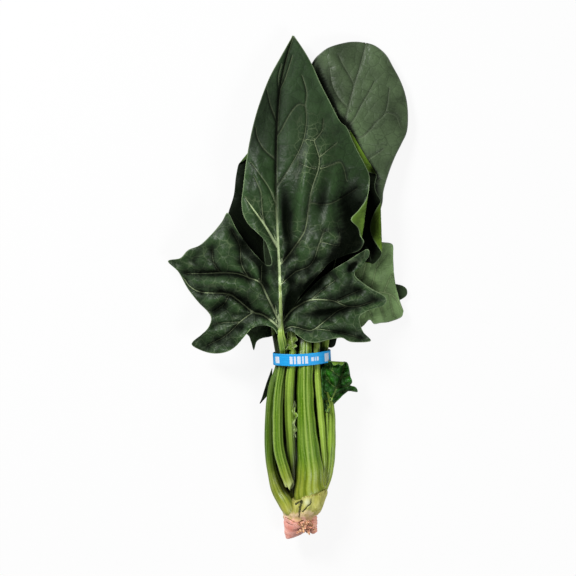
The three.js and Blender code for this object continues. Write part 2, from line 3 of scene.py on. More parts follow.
import bpy
import numpy as np
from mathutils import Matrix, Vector


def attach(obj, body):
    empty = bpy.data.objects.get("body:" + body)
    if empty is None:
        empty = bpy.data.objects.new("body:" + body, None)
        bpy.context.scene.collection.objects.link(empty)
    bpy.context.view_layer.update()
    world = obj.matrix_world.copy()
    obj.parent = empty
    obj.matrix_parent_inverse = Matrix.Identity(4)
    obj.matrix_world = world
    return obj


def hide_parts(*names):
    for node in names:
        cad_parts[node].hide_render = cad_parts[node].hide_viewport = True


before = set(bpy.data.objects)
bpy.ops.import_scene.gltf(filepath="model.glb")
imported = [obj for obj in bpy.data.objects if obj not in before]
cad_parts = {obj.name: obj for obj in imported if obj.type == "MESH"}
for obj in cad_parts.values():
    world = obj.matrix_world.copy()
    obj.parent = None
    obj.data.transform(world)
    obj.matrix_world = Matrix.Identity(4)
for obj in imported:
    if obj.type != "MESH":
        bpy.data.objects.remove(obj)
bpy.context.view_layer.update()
MM = 0.001

# ---- Floor, light and camera ---------------------------------------
# The bunch lies on a plain white table under soft light: a panel up to the left, towards the leaf tips, a
# weak one towards the root, and a pale room all round. The camera looks straight down.


def area_light(name, place, aim, size, watts):
    """A square panel of light at a place, turned towards a point, both in metres."""
    light = bpy.data.lights.new(name, "AREA")
    light.shape = "SQUARE"
    light.size = size
    light.energy = watts
    lamp = bpy.data.objects.new(name, light)
    lamp.location = place
    lamp.rotation_euler = (Vector(aim) - Vector(place)).to_track_quat("-Z", "Y").to_euler()
    bpy.context.collection.objects.link(lamp)


def shade(tree, kind, inputs=None, **settings):
    """Adds a shader node. Each of its inputs is given a plain value, or the output of another node."""
    made = tree.nodes.new(kind)
    for key, value in settings.items():
        setattr(made, key, value)
    for key, value in (inputs or {}).items():
        if isinstance(value, bpy.types.NodeSocket):
            tree.links.new(value, made.inputs[key])
        else:
            made.inputs[key].default_value = value
    return made


def maths(tree, operation, *values):
    """A Math node, from its operation and its inputs in order."""
    return shade(tree, "ShaderNodeMath", dict(enumerate(values)), operation=operation).outputs[0]


def new_finish(name, shine):
    """A new material, its node tree, and its Principled shader, whose specular level is shine."""
    paint = bpy.data.materials.new(name)
    paint.use_nodes = True
    skin = paint.node_tree.nodes["Principled BSDF"]
    skin.inputs["Specular IOR Level"].default_value = shine
    return paint, paint.node_tree, skin


area_light("key_panel", place=(-0.7, 0.72, 0.92), aim=(0, 0.02, 0), size=0.42, watts=18.0)
area_light("root_panel", place=(0.55, -0.6, 0.95), aim=(0, -0.04, 0), size=0.4, watts=6.5)

ROOM_LIGHT = 0.13
SEEN_WHITE = 1.0  # what the camera sees of the room, and of the table's glow
world = bpy.data.worlds.new("pale_room")
world.use_nodes = True
room = world.node_tree
room_light = room.nodes["Background"]
room_light.inputs["Color"].default_value = (1, 1, 1, 1)
room_light.inputs["Strength"].default_value = ROOM_LIGHT
seen_room = shade(room, "ShaderNodeBackground", {"Strength": SEEN_WHITE})
room_path = shade(room, "ShaderNodeLightPath")
room_mix = shade(room, "ShaderNodeMixShader", {0: room_path.outputs["Is Camera Ray"],
                                               1: room_light.outputs[0], 2: seen_room.outputs[0]})
room.links.new(room_mix.outputs[0], room.nodes["World Output"].inputs["Surface"])
bpy.context.scene.world = world

FLOOR_HALF = 1.6
FLOOR_GLOW_SHARE = 0.9  # of what the camera sees of the table, so that the bunch's shadow stays faint
floor_mesh = bpy.data.meshes.new("table_top")
floor_corners = [(FLOOR_HALF * x, FLOOR_HALF * y, 0) for x, y in ((-1, -1), (1, -1), (1, 1), (-1, 1))]
floor_mesh.from_pydata(floor_corners, [], [(0, 1, 2, 3)])
floor = bpy.data.objects.new("table_top", floor_mesh)
bpy.context.collection.objects.link(floor)
floor_paint, floor_tree, floor_skin = new_finish("white_table", 0.1)
floor_skin.inputs["Base Color"].default_value = (0.8, 0.8, 0.8, 1)
floor_skin.inputs["Roughness"].default_value = 0.9
floor_glow = shade(floor_tree, "ShaderNodeEmission", {"Strength": SEEN_WHITE})
floor_path = shade(floor_tree, "ShaderNodeLightPath")
floor_share = maths(floor_tree, "MULTIPLY", floor_path.outputs["Is Camera Ray"], FLOOR_GLOW_SHARE)
floor_mix = shade(floor_tree, "ShaderNodeMixShader",
                  {0: floor_share, 1: floor_skin.outputs[0], 2: floor_glow.outputs[0]})
floor_tree.links.new(floor_mix.outputs[0], floor_tree.nodes["Material Output"].inputs["Surface"])
floor_mesh.materials.append(floor_paint)

CAMERA_X, CAMERA_Y, CAMERA_HEIGHT = -0.0003, 0.0003, 3.0
BUNCH_LEVEL = 0.025
SEEN_WIDTH = 0.355  # of the bunch's own level, across the whole picture
camera_data = bpy.data.cameras.new("overhead_camera")
camera_data.sensor_width = 36
camera_data.lens = camera_data.sensor_width * (CAMERA_HEIGHT - BUNCH_LEVEL) / SEEN_WIDTH
camera = bpy.data.objects.new("overhead_camera", camera_data)
camera.location = (CAMERA_X, CAMERA_Y, CAMERA_HEIGHT)
bpy.context.collection.objects.link(camera)
bpy.context.scene.camera = camera
bpy.context.scene.view_settings.view_transform = "Standard"

# ---- Front leaf ----------------------------------------------------
# The large lobed leaf on top of the bunch: a thin satin blade on a pale midrib, with two lobes at each
# side of its base. It arches over the leaves below, puffs up between its veins, and part of its right
# margin has rolled over, so that the brighter underside shows.

# The heap that the blades make: points (y, height) of its middle line, and humps and hollows (x, y,
# half width, half length, rise) on it. Blades come down to their stalks between the two FOOT places.
HEAP_MIDDLE, HEAP_HALF_WIDTH = 3, 76
HEAP_FOOT, HEAP_FOOT_END = -28, 15
HEAP_PROFILE = [(-30, 31), (0, 34.4), (30, 36.2), (60, 34.8), (90, 30), (120, 21.5), (155, 11)]
HEAP_RELIEF = [(22, 55, 9, 30, 4.2), (38, 54, 8, 15, -4), (31, 28, 14, 9, 4), (-7, 95, 7, 40, -0.4),
               (-22, 62, 10, 26, 2), (-40, 4, 17, 13, 4), (-24, 24, 9, 12, -3), (42, -12, 13, 10, 4),
               (60, 100, 12, 30, 3)]


def run_length(points):
    """The distance run along a line of points, at each of them."""
    return np.concatenate([[0], np.cumsum(np.linalg.norm(np.diff(points, axis=0), axis=1))])


def smooth_path(points, t):
    """The listed points joined by a smooth curve, at t counted in points: a cubic between two neighbours,
    whose slope at a point is half the step between the points on either side of it."""
    p = np.asarray(points, float)
    p = np.vstack([2 * p[0] - p[1], p, 2 * p[-1] - p[-2]])
    k = np.clip(np.floor(t).astype(int), 0, len(points) - 2)
    f = (np.asarray(t) - k)[:, None]
    a, b, c, d = p[k], p[k + 1], p[k + 2], p[k + 3]
    square, cube = 2 * a - 5 * b + 4 * c - d, 3 * b - a - 3 * c + d
    return 0.5 * (2 * b + (c - a) * f + square * f**2 + cube * f**3)


def even_path(points, shares):
    """The smooth curve through the points, at shares of its length from 0 to 1."""
    t = np.linspace(0, len(points) - 1, 60 * len(points))
    fine = smooth_path(points, t)
    run = run_length(fine)
    return smooth_path(points, np.interp(np.asarray(shares) * run[-1], run, t))


def ease(t):
    """0 below 0, 1 above 1, and a smooth S between."""
    t = np.clip(t, 0, 1)
    return t * t * (3 - 2 * t)


def bell(x, y, middle_x, middle_y, reach_x, reach_y):
    """1 at the middle, and falling away as a bell with its own reach along x and along y."""
    return np.exp(-(((x - middle_x) / reach_x) ** 2) - ((y - middle_y) / reach_y) ** 2)


def heap_fall(x, share):
    """1 on the heap's middle line, and less by share at its sides."""
    return 1 - share * np.minimum(np.abs(x - HEAP_MIDDLE) / HEAP_HALF_WIDTH, 1) ** 1.8


def heap_level(x, y, base, level):
    """Height of a blade that keeps its place in the heap, in mm. The heap's middle line has a profile
    along y; humps and hollows are added, and it falls away to both sides. A blade lies at `level` times
    that height, and near the stalks it comes down to its own `base` height."""
    middle = np.interp(y, *np.transpose(HEAP_PROFILE))
    for hump_x, hump_y, reach_x, reach_y, rise in HEAP_RELIEF:
        middle = middle + rise * bell(x, y, hump_x, hump_y, reach_x, reach_y)
    inside = ease((y - HEAP_FOOT) / (HEAP_FOOT_END - HEAP_FOOT))
    return (base * (1 - inside) + level * middle * inside) * heap_fall(x, 0.75)


def swell(x, y, wavelength, seed, waves=14):
    """A gentle random swell of about -1 to 1: a sum of waves near one wavelength, in random
    directions."""
    draw = np.random.RandomState(seed)
    total = np.zeros_like(x)
    for _ in range(waves):
        heading, phase = draw.uniform(0, 2 * math.pi, 2)
        reach = wavelength * draw.uniform(0.7, 1.5)
        total += np.sin(2 * math.pi * (x * math.cos(heading) + y * math.sin(heading)) / reach + phase)
    return total / math.sqrt(waves * 2)


def cells(x, y, size, seed):
    """Cushions between tertiary veins: one random point in each square of a grid, and for each place the
    distance to its second nearest point less that to its nearest, as a share of the grid's size. It is 0
    on the line between two cushions and grows towards the middle of each."""
    squares = 64  # after which the random points repeat
    jitter = np.random.RandomState(seed).uniform(0.12, 0.88, (squares, squares, 2))
    column, row = np.floor(x / size).astype(int), np.floor(y / size).astype(int)
    near = np.full(x.shape, 9.0)
    second = np.full(x.shape, 9.0)
    for i in (-1, 0, 1):
        for j in (-1, 0, 1):
            point = jitter[(column + i) % squares, (row + j) % squares]
            away = np.hypot(column + i + point[..., 0] - x / size, row + j + point[..., 1] - y / size)
            second = np.minimum(second, np.maximum(near, away))
            near = np.minimum(near, away)
    return second - near


def blade_plan(midrib, left, right, rows, columns):
    """The flat plan of a blade. Its rows start at shares s of the midrib's length and end on the
    margins, whose points are (s, x, y) or (s, x, y, bend): a row bows towards the tip by bend. Both
    margins end at the midrib's tip. Rows are spread so that the margin points lie about evenly. Returns
    x and y as rows by 2 * columns + 1, with s for each row, and v across from -1 at the left margin to 1
    at the right."""
    tip = (1, *midrib[-1])
    left, right = [np.array([(*point, 0)[:4] for point in [*margin, tip]], float)
                   for margin in (left, right)]
    knots = np.unique(np.concatenate([left[:, 0], right[:, 0]]))
    travel = np.zeros(len(knots) - 1)
    for margin in (left, right):
        at = smooth_path(margin[:, 1:3], np.interp(knots, margin[:, 0], np.arange(len(margin))))
        travel = np.maximum(travel, np.linalg.norm(np.diff(at, axis=0), axis=1))
    s = np.interp(np.linspace(0, travel.sum(), rows), np.concatenate([[0], np.cumsum(travel)]), knots)
    s = np.minimum(s, 0.997)
    root = even_path(midrib, s)
    ahead = even_path(midrib, np.minimum(s + 0.002, 1)) - even_path(midrib, np.maximum(s - 0.002, 0))
    sides = []
    for margin in (left, right):
        t = np.interp(s, margin[:, 0], np.arange(len(margin)))
        end = smooth_path(margin[:, 1:3], t)
        bend = np.interp(s, margin[:, 0], margin[:, 3])
        out = end - root
        length = np.maximum(np.linalg.norm(out, axis=1), 1e-6)
        normal = np.stack([-out[:, 1], out[:, 0]], 1) / length[:, None]
        normal *= np.where((normal * ahead).sum(1) < 0, -1, 1)[:, None]
        r = np.linspace(0, 1, columns + 1)[None, :, None]
        bow = normal[:, None] * 4 * r * (1 - r) * bend[:, None, None]
        sides.append(root[:, None] + out[:, None] * r + bow)
    grid = np.concatenate([sides[0][:, :0:-1], sides[1]], axis=1)
    return {"x": grid[..., 0], "y": grid[..., 1], "s": s, "v": np.linspace(-1, 1, 2 * columns + 1)}


def on_plan(plan, s, v):
    """Plan coordinates at shares s along the midrib and v across, read from the plan's grid."""
    row = np.interp(s, plan["s"], np.arange(len(plan["s"])))
    column = (np.asarray(v) + 1) / 2 * (len(plan["v"]) - 1)
    i = np.minimum(row.astype(int), len(plan["s"]) - 2)
    j = np.minimum(column.astype(int), len(plan["v"]) - 2)
    f, g = row - i, column - j
    found = []
    for key in ("x", "y"):
        a = plan[key]
        found.append((a[i, j] * (1 - f) + a[i + 1, j] * f) * (1 - g)
                     + (a[i, j + 1] * (1 - f) + a[i + 1, j + 1] * f) * g)
    return np.stack(found, 1)


def pinnate_veins(plan, midrib, pairs, seed, size=0.5, reach=0.86):
    """The veins of a plain leaf: the midrib, and pairs of side veins that leave it in turn, bend towards
    the tip, and fork once before the margin. Each vein is (points, half width at its start, at its
    end)."""
    draw = np.random.RandomState(seed)
    veins = [(midrib, 1.1 * size / 0.5, 0.25)]
    for k in range(pairs):
        for hand in (-1, 1):
            start = (k + 0.35 + 0.3 * draw.uniform() + 0.2 * (hand > 0)) / (pairs + 0.8) * 0.92
            lift = draw.uniform(0.1, 0.2) * (1 - start * 0.4)
            across = np.linspace(0, reach, 7)
            trail = on_plan(plan, np.minimum(start + lift * across**1.4, 0.99), hand * across)
            veins.append((trail, size * (1 - 0.4 * start), 0.12))
            fork = draw.uniform(0.35, 0.55)
            twig = np.linspace(0, 1, 5)
            along = start + lift * fork**1.4 + (0.03 + 0.08 * draw.uniform()) * twig**1.2
            side = hand * (fork + (reach - fork) * 0.8 * twig**1.3)
            veins.append((on_plan(plan, np.minimum(along, 0.99), side), size * 0.6, 0.1))
    return veins


def vein_fields(x, y, veins, stretch=2.5):
    """For each place: the distance to the nearest vein in mm with a sign for its side, the same without
    a sign, and the vein's half width there. A vein is cut into straight stretches of about 2.5 mm, and
    the distance is measured to each of them in turn."""
    p = np.stack([x.ravel(), y.ravel()], 1)
    nearest = np.full(len(p), 1e6)
    sided, plain, size = np.zeros(len(p)), np.full(len(p), 50.0), np.full(len(p), 0.1)
    for points, start_size, end_size in veins:
        length = np.linalg.norm(np.diff(np.asarray(points, float), axis=0), axis=1).sum()
        steps = max(4, int(length / stretch))
        path = smooth_path(points, np.linspace(0, len(points) - 1, steps + 1))
        sizes = np.linspace(start_size, end_size, steps + 1)
        for a, b, size_a, size_b in zip(path[:-1], path[1:], sizes[:-1], sizes[1:]):
            run = b - a
            share = np.clip((p - a) @ run / (run @ run), 0, 1)
            off = p - a - share[:, None] * run
            away = np.hypot(off[:, 0], off[:, 1])
            here = size_a + (size_b - size_a) * share
            closer = away - here < nearest
            nearest = np.where(closer, away - here, nearest)
            hand = np.where(run[0] * off[:, 1] - run[1] * off[:, 0] < 0, -1, 1)
            sided = np.where(closer, away * hand, sided)
            plain = np.where(closer, away, plain)
            size = np.where(closer, here, size)
    return sided.reshape(x.shape), plain.reshape(x.shape), size.reshape(x.shape)


def surface_normals(points):
    """Unit normals of a grid of points, up from a grid whose rows run forward and columns to the
    right."""
    along = np.gradient(points, axis=0)
    across = np.gradient(points, axis=1)
    normal = np.cross(across, along)
    return normal / np.maximum(np.linalg.norm(normal, axis=2), 1e-9)[..., None]


def roll_over(points, start, end, radius, most, tilt=0.0, reach=6.0):
    """Bends what lies right of the line from start to end up and over it, round a bend of that radius
    and by at most `most` degrees. Beyond the line's ends the bend dies away over `reach` mm. The flap
    past the bend rises by tilt for each mm, so that it lies clear of a blade that climbs away from the
    line."""
    start, end = np.array(start, float), np.array(end, float)
    run = (end - start) / np.linalg.norm(end - start)
    out = np.array([run[1], -run[0]])
    flat = points[..., :2] - start
    along = flat @ run
    length = np.linalg.norm(end - start)
    share = ease(1 + along / reach) * ease(1 + (length - along) / reach)
    beyond = flat @ out
    bend = np.radians(most) * share
    turn = np.clip(beyond / radius, 0, bend)
    rest = np.maximum(beyond - radius * turn, 0)
    sideways = radius * np.sin(turn) + rest * np.cos(turn)
    lift = radius * (1 - np.cos(turn)) + rest * (np.sin(turn) + tilt * share**2)
    moved = np.where(beyond > 0, sideways - beyond, 0)
    rolled = points.copy()
    rolled[..., 0] += moved * out[0]
    rolled[..., 1] += moved * out[1]
    rolled[..., 2] += np.where(beyond > 0, lift, 0)
    return rolled


PLAN_UNIT = 100  # mm of a piece's own plan to one unit of its UV map
pieces = []


def add_mesh(name, points, face_blocks, attributes=None, uv=None):
    """A mesh object at the origin from points in mm, with smooth faces, point attributes and a UV map."""
    mesh = bpy.data.meshes.new(name)
    faces = [face for block in face_blocks for face in block.tolist()]
    mesh.from_pydata((points * MM).tolist(), [], faces)
    mesh.polygons.foreach_set("use_smooth", np.ones(len(mesh.polygons), bool))
    for key, values in (attributes or {}).items():
        layer = mesh.attributes.new(key, "FLOAT", "POINT")
        layer.data.foreach_set("value", np.asarray(values, np.float32).ravel())
    if uv is not None:
        corners = np.empty(len(mesh.loops), np.int32)
        mesh.loops.foreach_get("vertex_index", corners)
        layer = mesh.uv_layers.new(name="plan")
        layer.data.foreach_set("uv", np.asarray(uv, np.float32)[corners].ravel())
    mesh.update()
    piece = bpy.data.objects.new(name, mesh)
    bpy.context.collection.objects.link(piece)
    pieces.append(piece)
    return piece


def side_faces(rows, around):
    """The four-sided faces between the rows of a grid, each row of which is a closed loop of points."""
    i, j = np.meshgrid(np.arange(rows - 1), np.arange(around), indexing="ij")
    k = (j + 1) % around
    faces = np.stack([i * around + j, i * around + k, (i + 1) * around + k, (i + 1) * around + j], -1)
    return faces.reshape(-1, 4)


def sheet_faces(rows, around, width):
    """The faces of a closed thin sheet, each row of which is a loop: `width` points over the top from
    left to right, and as many back underneath, with a point between them at each margin if there are
    more. The last two blocks close the first row and the last."""
    m = np.arange(width - 1)
    back = around - 1 - (around - 2 * width) // 2 - m
    first = np.stack([m + 1, m, back, back - 1], 1)
    last = np.stack([m, m + 1, back - 1, back], 1) + (rows - 1) * around
    return [side_faces(rows, around), first, last]


def blade_mesh(name, plan, middle, fields, vein_pale, rib=1.4, thickness=0.38):
    """A closed thin sheet round a middle surface: the upper skin half a thickness above it along its
    normal, and the lower skin below, where the veins stand out as ribs. Each row is one closed loop of
    points: over the top from left to right, round the margin, and back underneath."""
    sided, plain, size = fields
    normal = surface_normals(middle)
    folded = surface_normals(np.stack([plan["x"], plan["y"], 0 * plain], -1))[..., 2:] < 0
    normal = np.where(folded, -normal, normal)
    taper = np.minimum((1 - np.abs(plan["v"])) * 12, 1)[None, :]
    ribs = rib * size * np.exp(-((plain / (1.3 * size + 0.25)) ** 2)) * taper
    upper = middle + normal * thickness / 2
    lower = middle - normal * (thickness / 2 + ribs)[..., None]
    rims = []
    for edge, inner in ((-1, -2), (0, 1)):
        out = middle[:, edge] * 2 - middle[:, inner] - middle[:, edge]
        out /= np.maximum(np.linalg.norm(out, axis=1), 1e-9)[:, None]
        rims.append((middle[:, edge] + out * thickness * 0.35)[:, None])
    loop = np.concatenate([upper, rims[0], lower[:, ::-1], rims[1]], axis=1)
    rows, around = loop.shape[:2]
    width = middle.shape[1]

    def both(values):
        """The values of the plan's points, for a loop's upper skin, margin, lower skin and margin."""
        return np.concatenate([values, values[:, -1:], values[:, ::-1], values[:, :1]], axis=1)

    under = np.concatenate([np.zeros(width), [0.5], np.ones(width), [0.5]])[None, :].repeat(rows, 0)
    edge_gap = [np.hypot(plan["x"] - plan["x"][:, edge], plan["y"] - plan["y"][:, edge])
                for edge in (slice(0, 1), slice(-1, None))]
    attributes = {"vein_side": both(np.clip(sided, -6, 6)), "vein_far": both(np.minimum(plain, 12)),
                  "vein_size": both(size), "vein_pale": both(vein_pale + 0 * plain), "under": under,
                  "edge_gap": both(np.minimum(*edge_gap).clip(max=9))}
    uv = np.stack([both(plan["x"]), both(plan["y"])], -1).reshape(-1, 2) / PLAN_UNIT
    return add_mesh(name, loop.reshape(-1, 3), sheet_faces(rows, around, width), attributes, uv)


def ramp(tree, value, low, high, out_low=0.0, out_high=1.0):
    """A smooth step: out_low where the value is below low, out_high above high."""
    limits = {"Value": value, "From Min": low, "From Max": high, "To Min": out_low, "To Max": out_high}
    return shade(tree, "ShaderNodeMapRange", limits, interpolation_type="SMOOTHSTEP").outputs["Result"]


def times(tree, first, second):
    """The product of two values."""
    return maths(tree, "MULTIPLY", first, second)


def add_up(tree, first, *more):
    """The sum of two or more values."""
    for value in more:
        first = maths(tree, "ADD", first, value)
    return first


def plan_place(tree):
    """The place on a piece's own plan."""
    return shade(tree, "ShaderNodeUVMap", uv_map="plan").outputs["UV"]


def drawn_out(tree, place, scale):
    """A place with each of its axes scaled, so that what is drawn on it comes out long and narrow."""
    return shade(tree, "ShaderNodeMapping", {"Vector": place, "Scale": scale}).outputs["Vector"]


def noise(tree, place, scale, detail, output="Fac"):
    """A Noise texture at a place."""
    inputs = {"Vector": place, "Scale": scale, "Detail": detail}
    return shade(tree, "ShaderNodeTexNoise", inputs).outputs[output]


def net_edge(tree, place, scale, randomness):
    """The distance to the nearest line of a net of cells."""
    inputs = {"Vector": place, "Scale": scale, "Randomness": randomness}
    return shade(tree, "ShaderNodeTexVoronoi", inputs, feature="DISTANCE_TO_EDGE").outputs["Distance"]


def feed_skin(tree, skin, colour, rough, height, strength, distance):
    """Joins a colour, a roughness, and a bump of a height, `distance` metres deep, to a finish's
    shader."""
    tree.links.new(colour, skin.inputs["Base Color"])
    tree.links.new(rough, skin.inputs["Roughness"])
    relief = shade(tree, "ShaderNodeBump", {"Height": height, "Strength": strength, "Distance": distance})
    tree.links.new(relief.outputs[0], skin.inputs["Normal"])


def between(first, second, share):
    """A colour between two, as a plain value: the first with share 0 and the second with share 1."""
    return tuple((1 - share) * a + share * b for a, b in zip(first, second))


def blend(tree, share, first, second, blend_type="MIX"):
    """A Mix node for colours: the first where share is 0, and the second where it is 1."""
    made = tree.nodes.new("ShaderNodeMix")
    made.data_type = "RGBA"
    made.blend_type = blend_type
    for socket, value in zip((made.inputs[0], made.inputs[6], made.inputs[7]), (share, first, second)):
        if isinstance(value, bpy.types.NodeSocket):
            tree.links.new(value, socket)
        else:
            socket.default_value = value if isinstance(value, float) else (*value, 1)
    return made.outputs[2]


def stored(tree, name):
    """The value of a point attribute."""
    return shade(tree, "ShaderNodeAttribute", attribute_name=name).outputs["Fac"]


def lay_over(tree, colour, *layers):
    """A colour with others laid over it in turn. A layer is the value that says where it shows, its
    colour, and the limits between which the value makes it show: as ramp's."""
    for value, over, *limits in layers:
        colour = blend(tree, ramp(tree, value, *limits), colour, over)
    return colour


def in_shade(tree, colour, darkest=0.1, deepest=5.0):
    """Painted shade and painted light: the colour, darker where the place lies deep in the bunch and a
    little lighter where it stands out."""
    light = ramp(tree, stored(tree, "hollow"), -2.0, deepest, 1.25, darkest)
    return blend(tree, 1.0, colour, light, "MULTIPLY")


def leaf_marks_group():
    """What every blade shares: crisp vein lines where the signed distance crosses zero close to a vein,
    a painted highlight on one side of a sunken vein, painted shade beside all of them, the fine net
    between them, the pale margin, slow and fine mottle, and the surface's height."""
    tree = bpy.data.node_groups.new("leaf_marks", "ShaderNodeTree")
    tree.interface.new_socket("Net Size", in_out="INPUT", socket_type="NodeSocketFloat")
    for name in ("Vein", "Lip", "Halo", "Net", "Margin", "Mottle", "Speck", "Height"):
        tree.interface.new_socket(name, in_out="OUTPUT", socket_type="NodeSocketFloat")
    net_size = tree.nodes.new("NodeGroupInput").outputs[0]
    result = tree.nodes.new("NodeGroupOutput")
    side, far, size = [stored(tree, key) for key in ("vein_side", "vein_far", "vein_size")]
    share = maths(tree, "DIVIDE", maths(tree, "ABSOLUTE", side), maths(tree, "MAXIMUM", size, 0.12))
    close = ramp(tree, maths(tree, "SUBTRACT", far, size), 0.7, 1.4, 1.0, 0.0)
    vein = times(tree, ramp(tree, share, 0.45, 1.15, 1.0, 0.0), close)
    past = maths(tree, "SUBTRACT", times(tree, side, -1.0), size)
    # Painted highlight: the lit side of a sunken vein, laid on as a paler colour.
    vein_highlight = times(tree, ramp(tree, past, -0.1, 0.2), ramp(tree, past, 0.25, 0.9, 1.0, 0.0))
    vein_highlight = times(tree, vein_highlight, close)
    # Painted shade: a darker band beside every vein.
    vein_shade = ramp(tree, far, 0.3, 1.4, 1.0, 0.0)
    plan = plan_place(tree)
    wobble = noise(tree, plan, 18.0, 2.0, "Color")
    wobble = shade(tree, "ShaderNodeVectorMath", {0: wobble, "Scale": 0.035}, operation="SCALE")
    bent = shade(tree, "ShaderNodeVectorMath", {0: plan, 1: wobble.outputs[0]}, operation="ADD")
    bent = bent.outputs[0]
    coarse = net_edge(tree, bent, maths(tree, "DIVIDE", 1.0 * PLAN_UNIT, net_size), 0.9)
    fine = net_edge(tree, bent, maths(tree, "DIVIDE", 3.3 * PLAN_UNIT, net_size), 1.0)
    coarse_line = ramp(tree, coarse, 0.0, 0.05, 1.0, 0.0)
    fine_line = ramp(tree, fine, 0.0, 0.09, 1.0, 0.0)
    net = maths(tree, "MAXIMUM", coarse_line, times(tree, fine_line, 0.35))
    margin = ramp(tree, stored(tree, "edge_gap"), 0.1, 0.7, 1.0, 0.0)
    slow = noise(tree, plan, 5.0, 4.0)
    speck = noise(tree, plan, 95.0, 5.0)
    raised = times(tree, maths(tree, "SUBTRACT", stored(tree, "vein_pale"), 0.35), 0.3)
    crumple = noise(tree, bent, 20.0, 1.6)
    crumple = maths(tree, "ABSOLUTE", maths(tree, "SUBTRACT", crumple, 0.5))
    crumple = times(tree, crumple, ramp(tree, stored(tree, "vein_pale"), 0.0, 0.9, 0.5, 0.9))
    height = add_up(tree, times(tree, speck, 0.06), crumple)
    height = add_up(tree, height, times(tree, ramp(tree, coarse, 0.0, 0.12, 1.0, 0.0), raised))
    height = add_up(tree, height, times(tree, ramp(tree, coarse, 0.0, 0.4), 0.2))
    height = add_up(tree, height, times(tree, ramp(tree, fine, 0.0, 0.4), 0.05))
    height = maths(tree, "SUBTRACT", height, times(tree, vein, 0.16))
    for name, value in (("Vein", vein), ("Lip", vein_highlight), ("Halo", vein_shade), ("Net", net), ("Margin", margin),
                        ("Mottle", slow), ("Speck", speck), ("Height", height)):
        tree.links.new(value, result.inputs[name])
    return tree


leaf_marks = leaf_marks_group()


def leaf_skin(name, top, under, vein_top, vein_under, net_size=7.0, roughness=0.46, bump=0.6, shine=0.34,
              darkest=0.1, deepest=5.0, mottle=0.45, dull_tip=0.0, rim=None):
    """The finish of a blade: a dark satin upper side and a duller, paler lower side, each with its
    veins, a faint net between them and mottled green, and a thin bright margin of the colour rim. A vein
    is a pale line where vein_pale is 1, and where it is 0 a dark crease of painted shade with a painted
    highlight on one side. Painted shade also darkens the band beside every vein, and the net's lines
    where vein_pale is low. Where the blade lies deep in the bunch, it loses its sheen and painted shade
    darkens it, to the share darkest at the depth deepest. dull_tip is how much rougher it gets towards
    the tips of the bunch."""
    paint, tree, skin = new_finish(name, shine)
    marks = shade(tree, "ShaderNodeGroup", node_tree=leaf_marks)
    marks.inputs["Net Size"].default_value = net_size
    mark = marks.outputs
    pale_vein = stored(tree, "vein_pale")
    sides = []
    for leaf_colour, vein_colour, net_strength, contrast in (
            (top, vein_top, 0.55, mottle), (under, vein_under, 0.5, 0.3)):
        deep = tuple(c * (1 - contrast * 0.6) for c in leaf_colour)
        pale = tuple(c * (1 + contrast * 0.5) for c in leaf_colour)
        # The crease colour is painted shade: the dark of sunken veins, of the net's lines and of the band
        # beside the veins.
        crease = tuple(c * 0.45 for c in leaf_colour)
        base = lay_over(tree, deep, (mark["Mottle"], pale, 0.3, 0.7),
                        (mark["Speck"], pale, 0.35, 0.75, 0.0, 0.3))
        base = blend(tree, times(tree, mark["Halo"], 0.45), base, crease)
        net_colour = blend(tree, ramp(tree, pale_vein, 0.1, 0.6), crease,
                           between(leaf_colour, vein_colour, 0.25))
        net_share = ramp(tree, pale_vein, 0.3, 0.9, net_strength, net_strength * 0.6)
        base = blend(tree, times(tree, mark["Net"], net_share), base, net_colour)
        vein_highlight = times(tree, mark["Lip"], maths(tree, "SUBTRACT", 0.45, pale_vein))
        base = blend(tree, maths(tree, "MAXIMUM", vein_highlight, 0.0), base,
                     between(leaf_colour, vein_colour, 0.45))
        line = blend(tree, pale_vein, crease, vein_colour)
        stout = ramp(tree, stored(tree, "vein_size"), 0.12, 0.6, 0.72, 1.0)
        sides.append(blend(tree, times(tree, mark["Vein"], stout), base, line))
    below = ramp(tree, stored(tree, "under"), 0.45, 0.55)
    colour = blend(tree, below, *sides)
    # The bright margin: partly the margin's own paler green, partly a painted edge highlight.
    if rim is None:
        lighter = [min(4.5 * c, 0.2 + 0.6 * c) for c in top]
        rim = tuple(0.6 * c + 0.25 * lighter[1] for c in lighter)
    colour = blend(tree, times(tree, mark["Margin"], 0.6), colour, rim)
    # Painted shade deep in the bunch, and a little painted light where the blade stands out.
    colour = in_shade(tree, colour, darkest, deepest)
    # Painted shade takes the sheen too: deep places count as a near-black metal.
    sheenless = max(0.0, 0.95 - 1.6 * darkest)  # a black counted as metal gives back no sheen at all
    sheen_off = ramp(tree, stored(tree, "hollow"), 1.0, deepest + 1.0, 0.0, sheenless)
    tree.links.new(sheen_off, skin.inputs["Metallic"])
    rough = add_up(tree, ramp(tree, mark["Speck"], 0.3, 0.7, roughness - 0.06, roughness + 0.1),
                   times(tree, below, 0.14))
    rough = add_up(tree, rough, ramp(tree, stored(tree, "hollow"), 0.5, 4.0, 0.0, 0.35))
    tipwards = shade(tree, "ShaderNodeSeparateXYZ", {"Vector": plan_place(tree)}).outputs["Y"]
    rough = add_up(tree, rough, ramp(tree, tipwards, 0.7, 1.05, 0.0, dull_tip))
    feed_skin(tree, skin, colour, rough, mark["Height"], bump, 0.001)
    return paint


def blade(name, midrib, left, right, veins, height, skin, slot="blade", grid=(150, 30), shape=None,
          rib=1.4, vein_pale=0.5):
    """Builds one blade, rides it on the bunch in place of its CAD node, and gives it its finish. Its
    veins are as pale as vein_pale says, a share or a function of the plan. Returns its spine, which is
    the line of points along its midrib."""
    plan = blade_plan(midrib, left, right, *grid)
    if callable(veins):
        veins = veins(plan)
    fields = vein_fields(plan["x"], plan["y"], veins)
    points = np.stack([plan["x"], plan["y"], height(plan, fields)], -1)
    if shape:
        points = shape(points)
    pale = vein_pale(plan["x"], plan["y"]) if callable(vein_pale) else vein_pale
    piece = blade_mesh(name, plan, points, fields, pale, rib)
    piece.data.materials.append(skin)
    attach(piece, "root")
    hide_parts(name)
    return points[:, grid[1]]


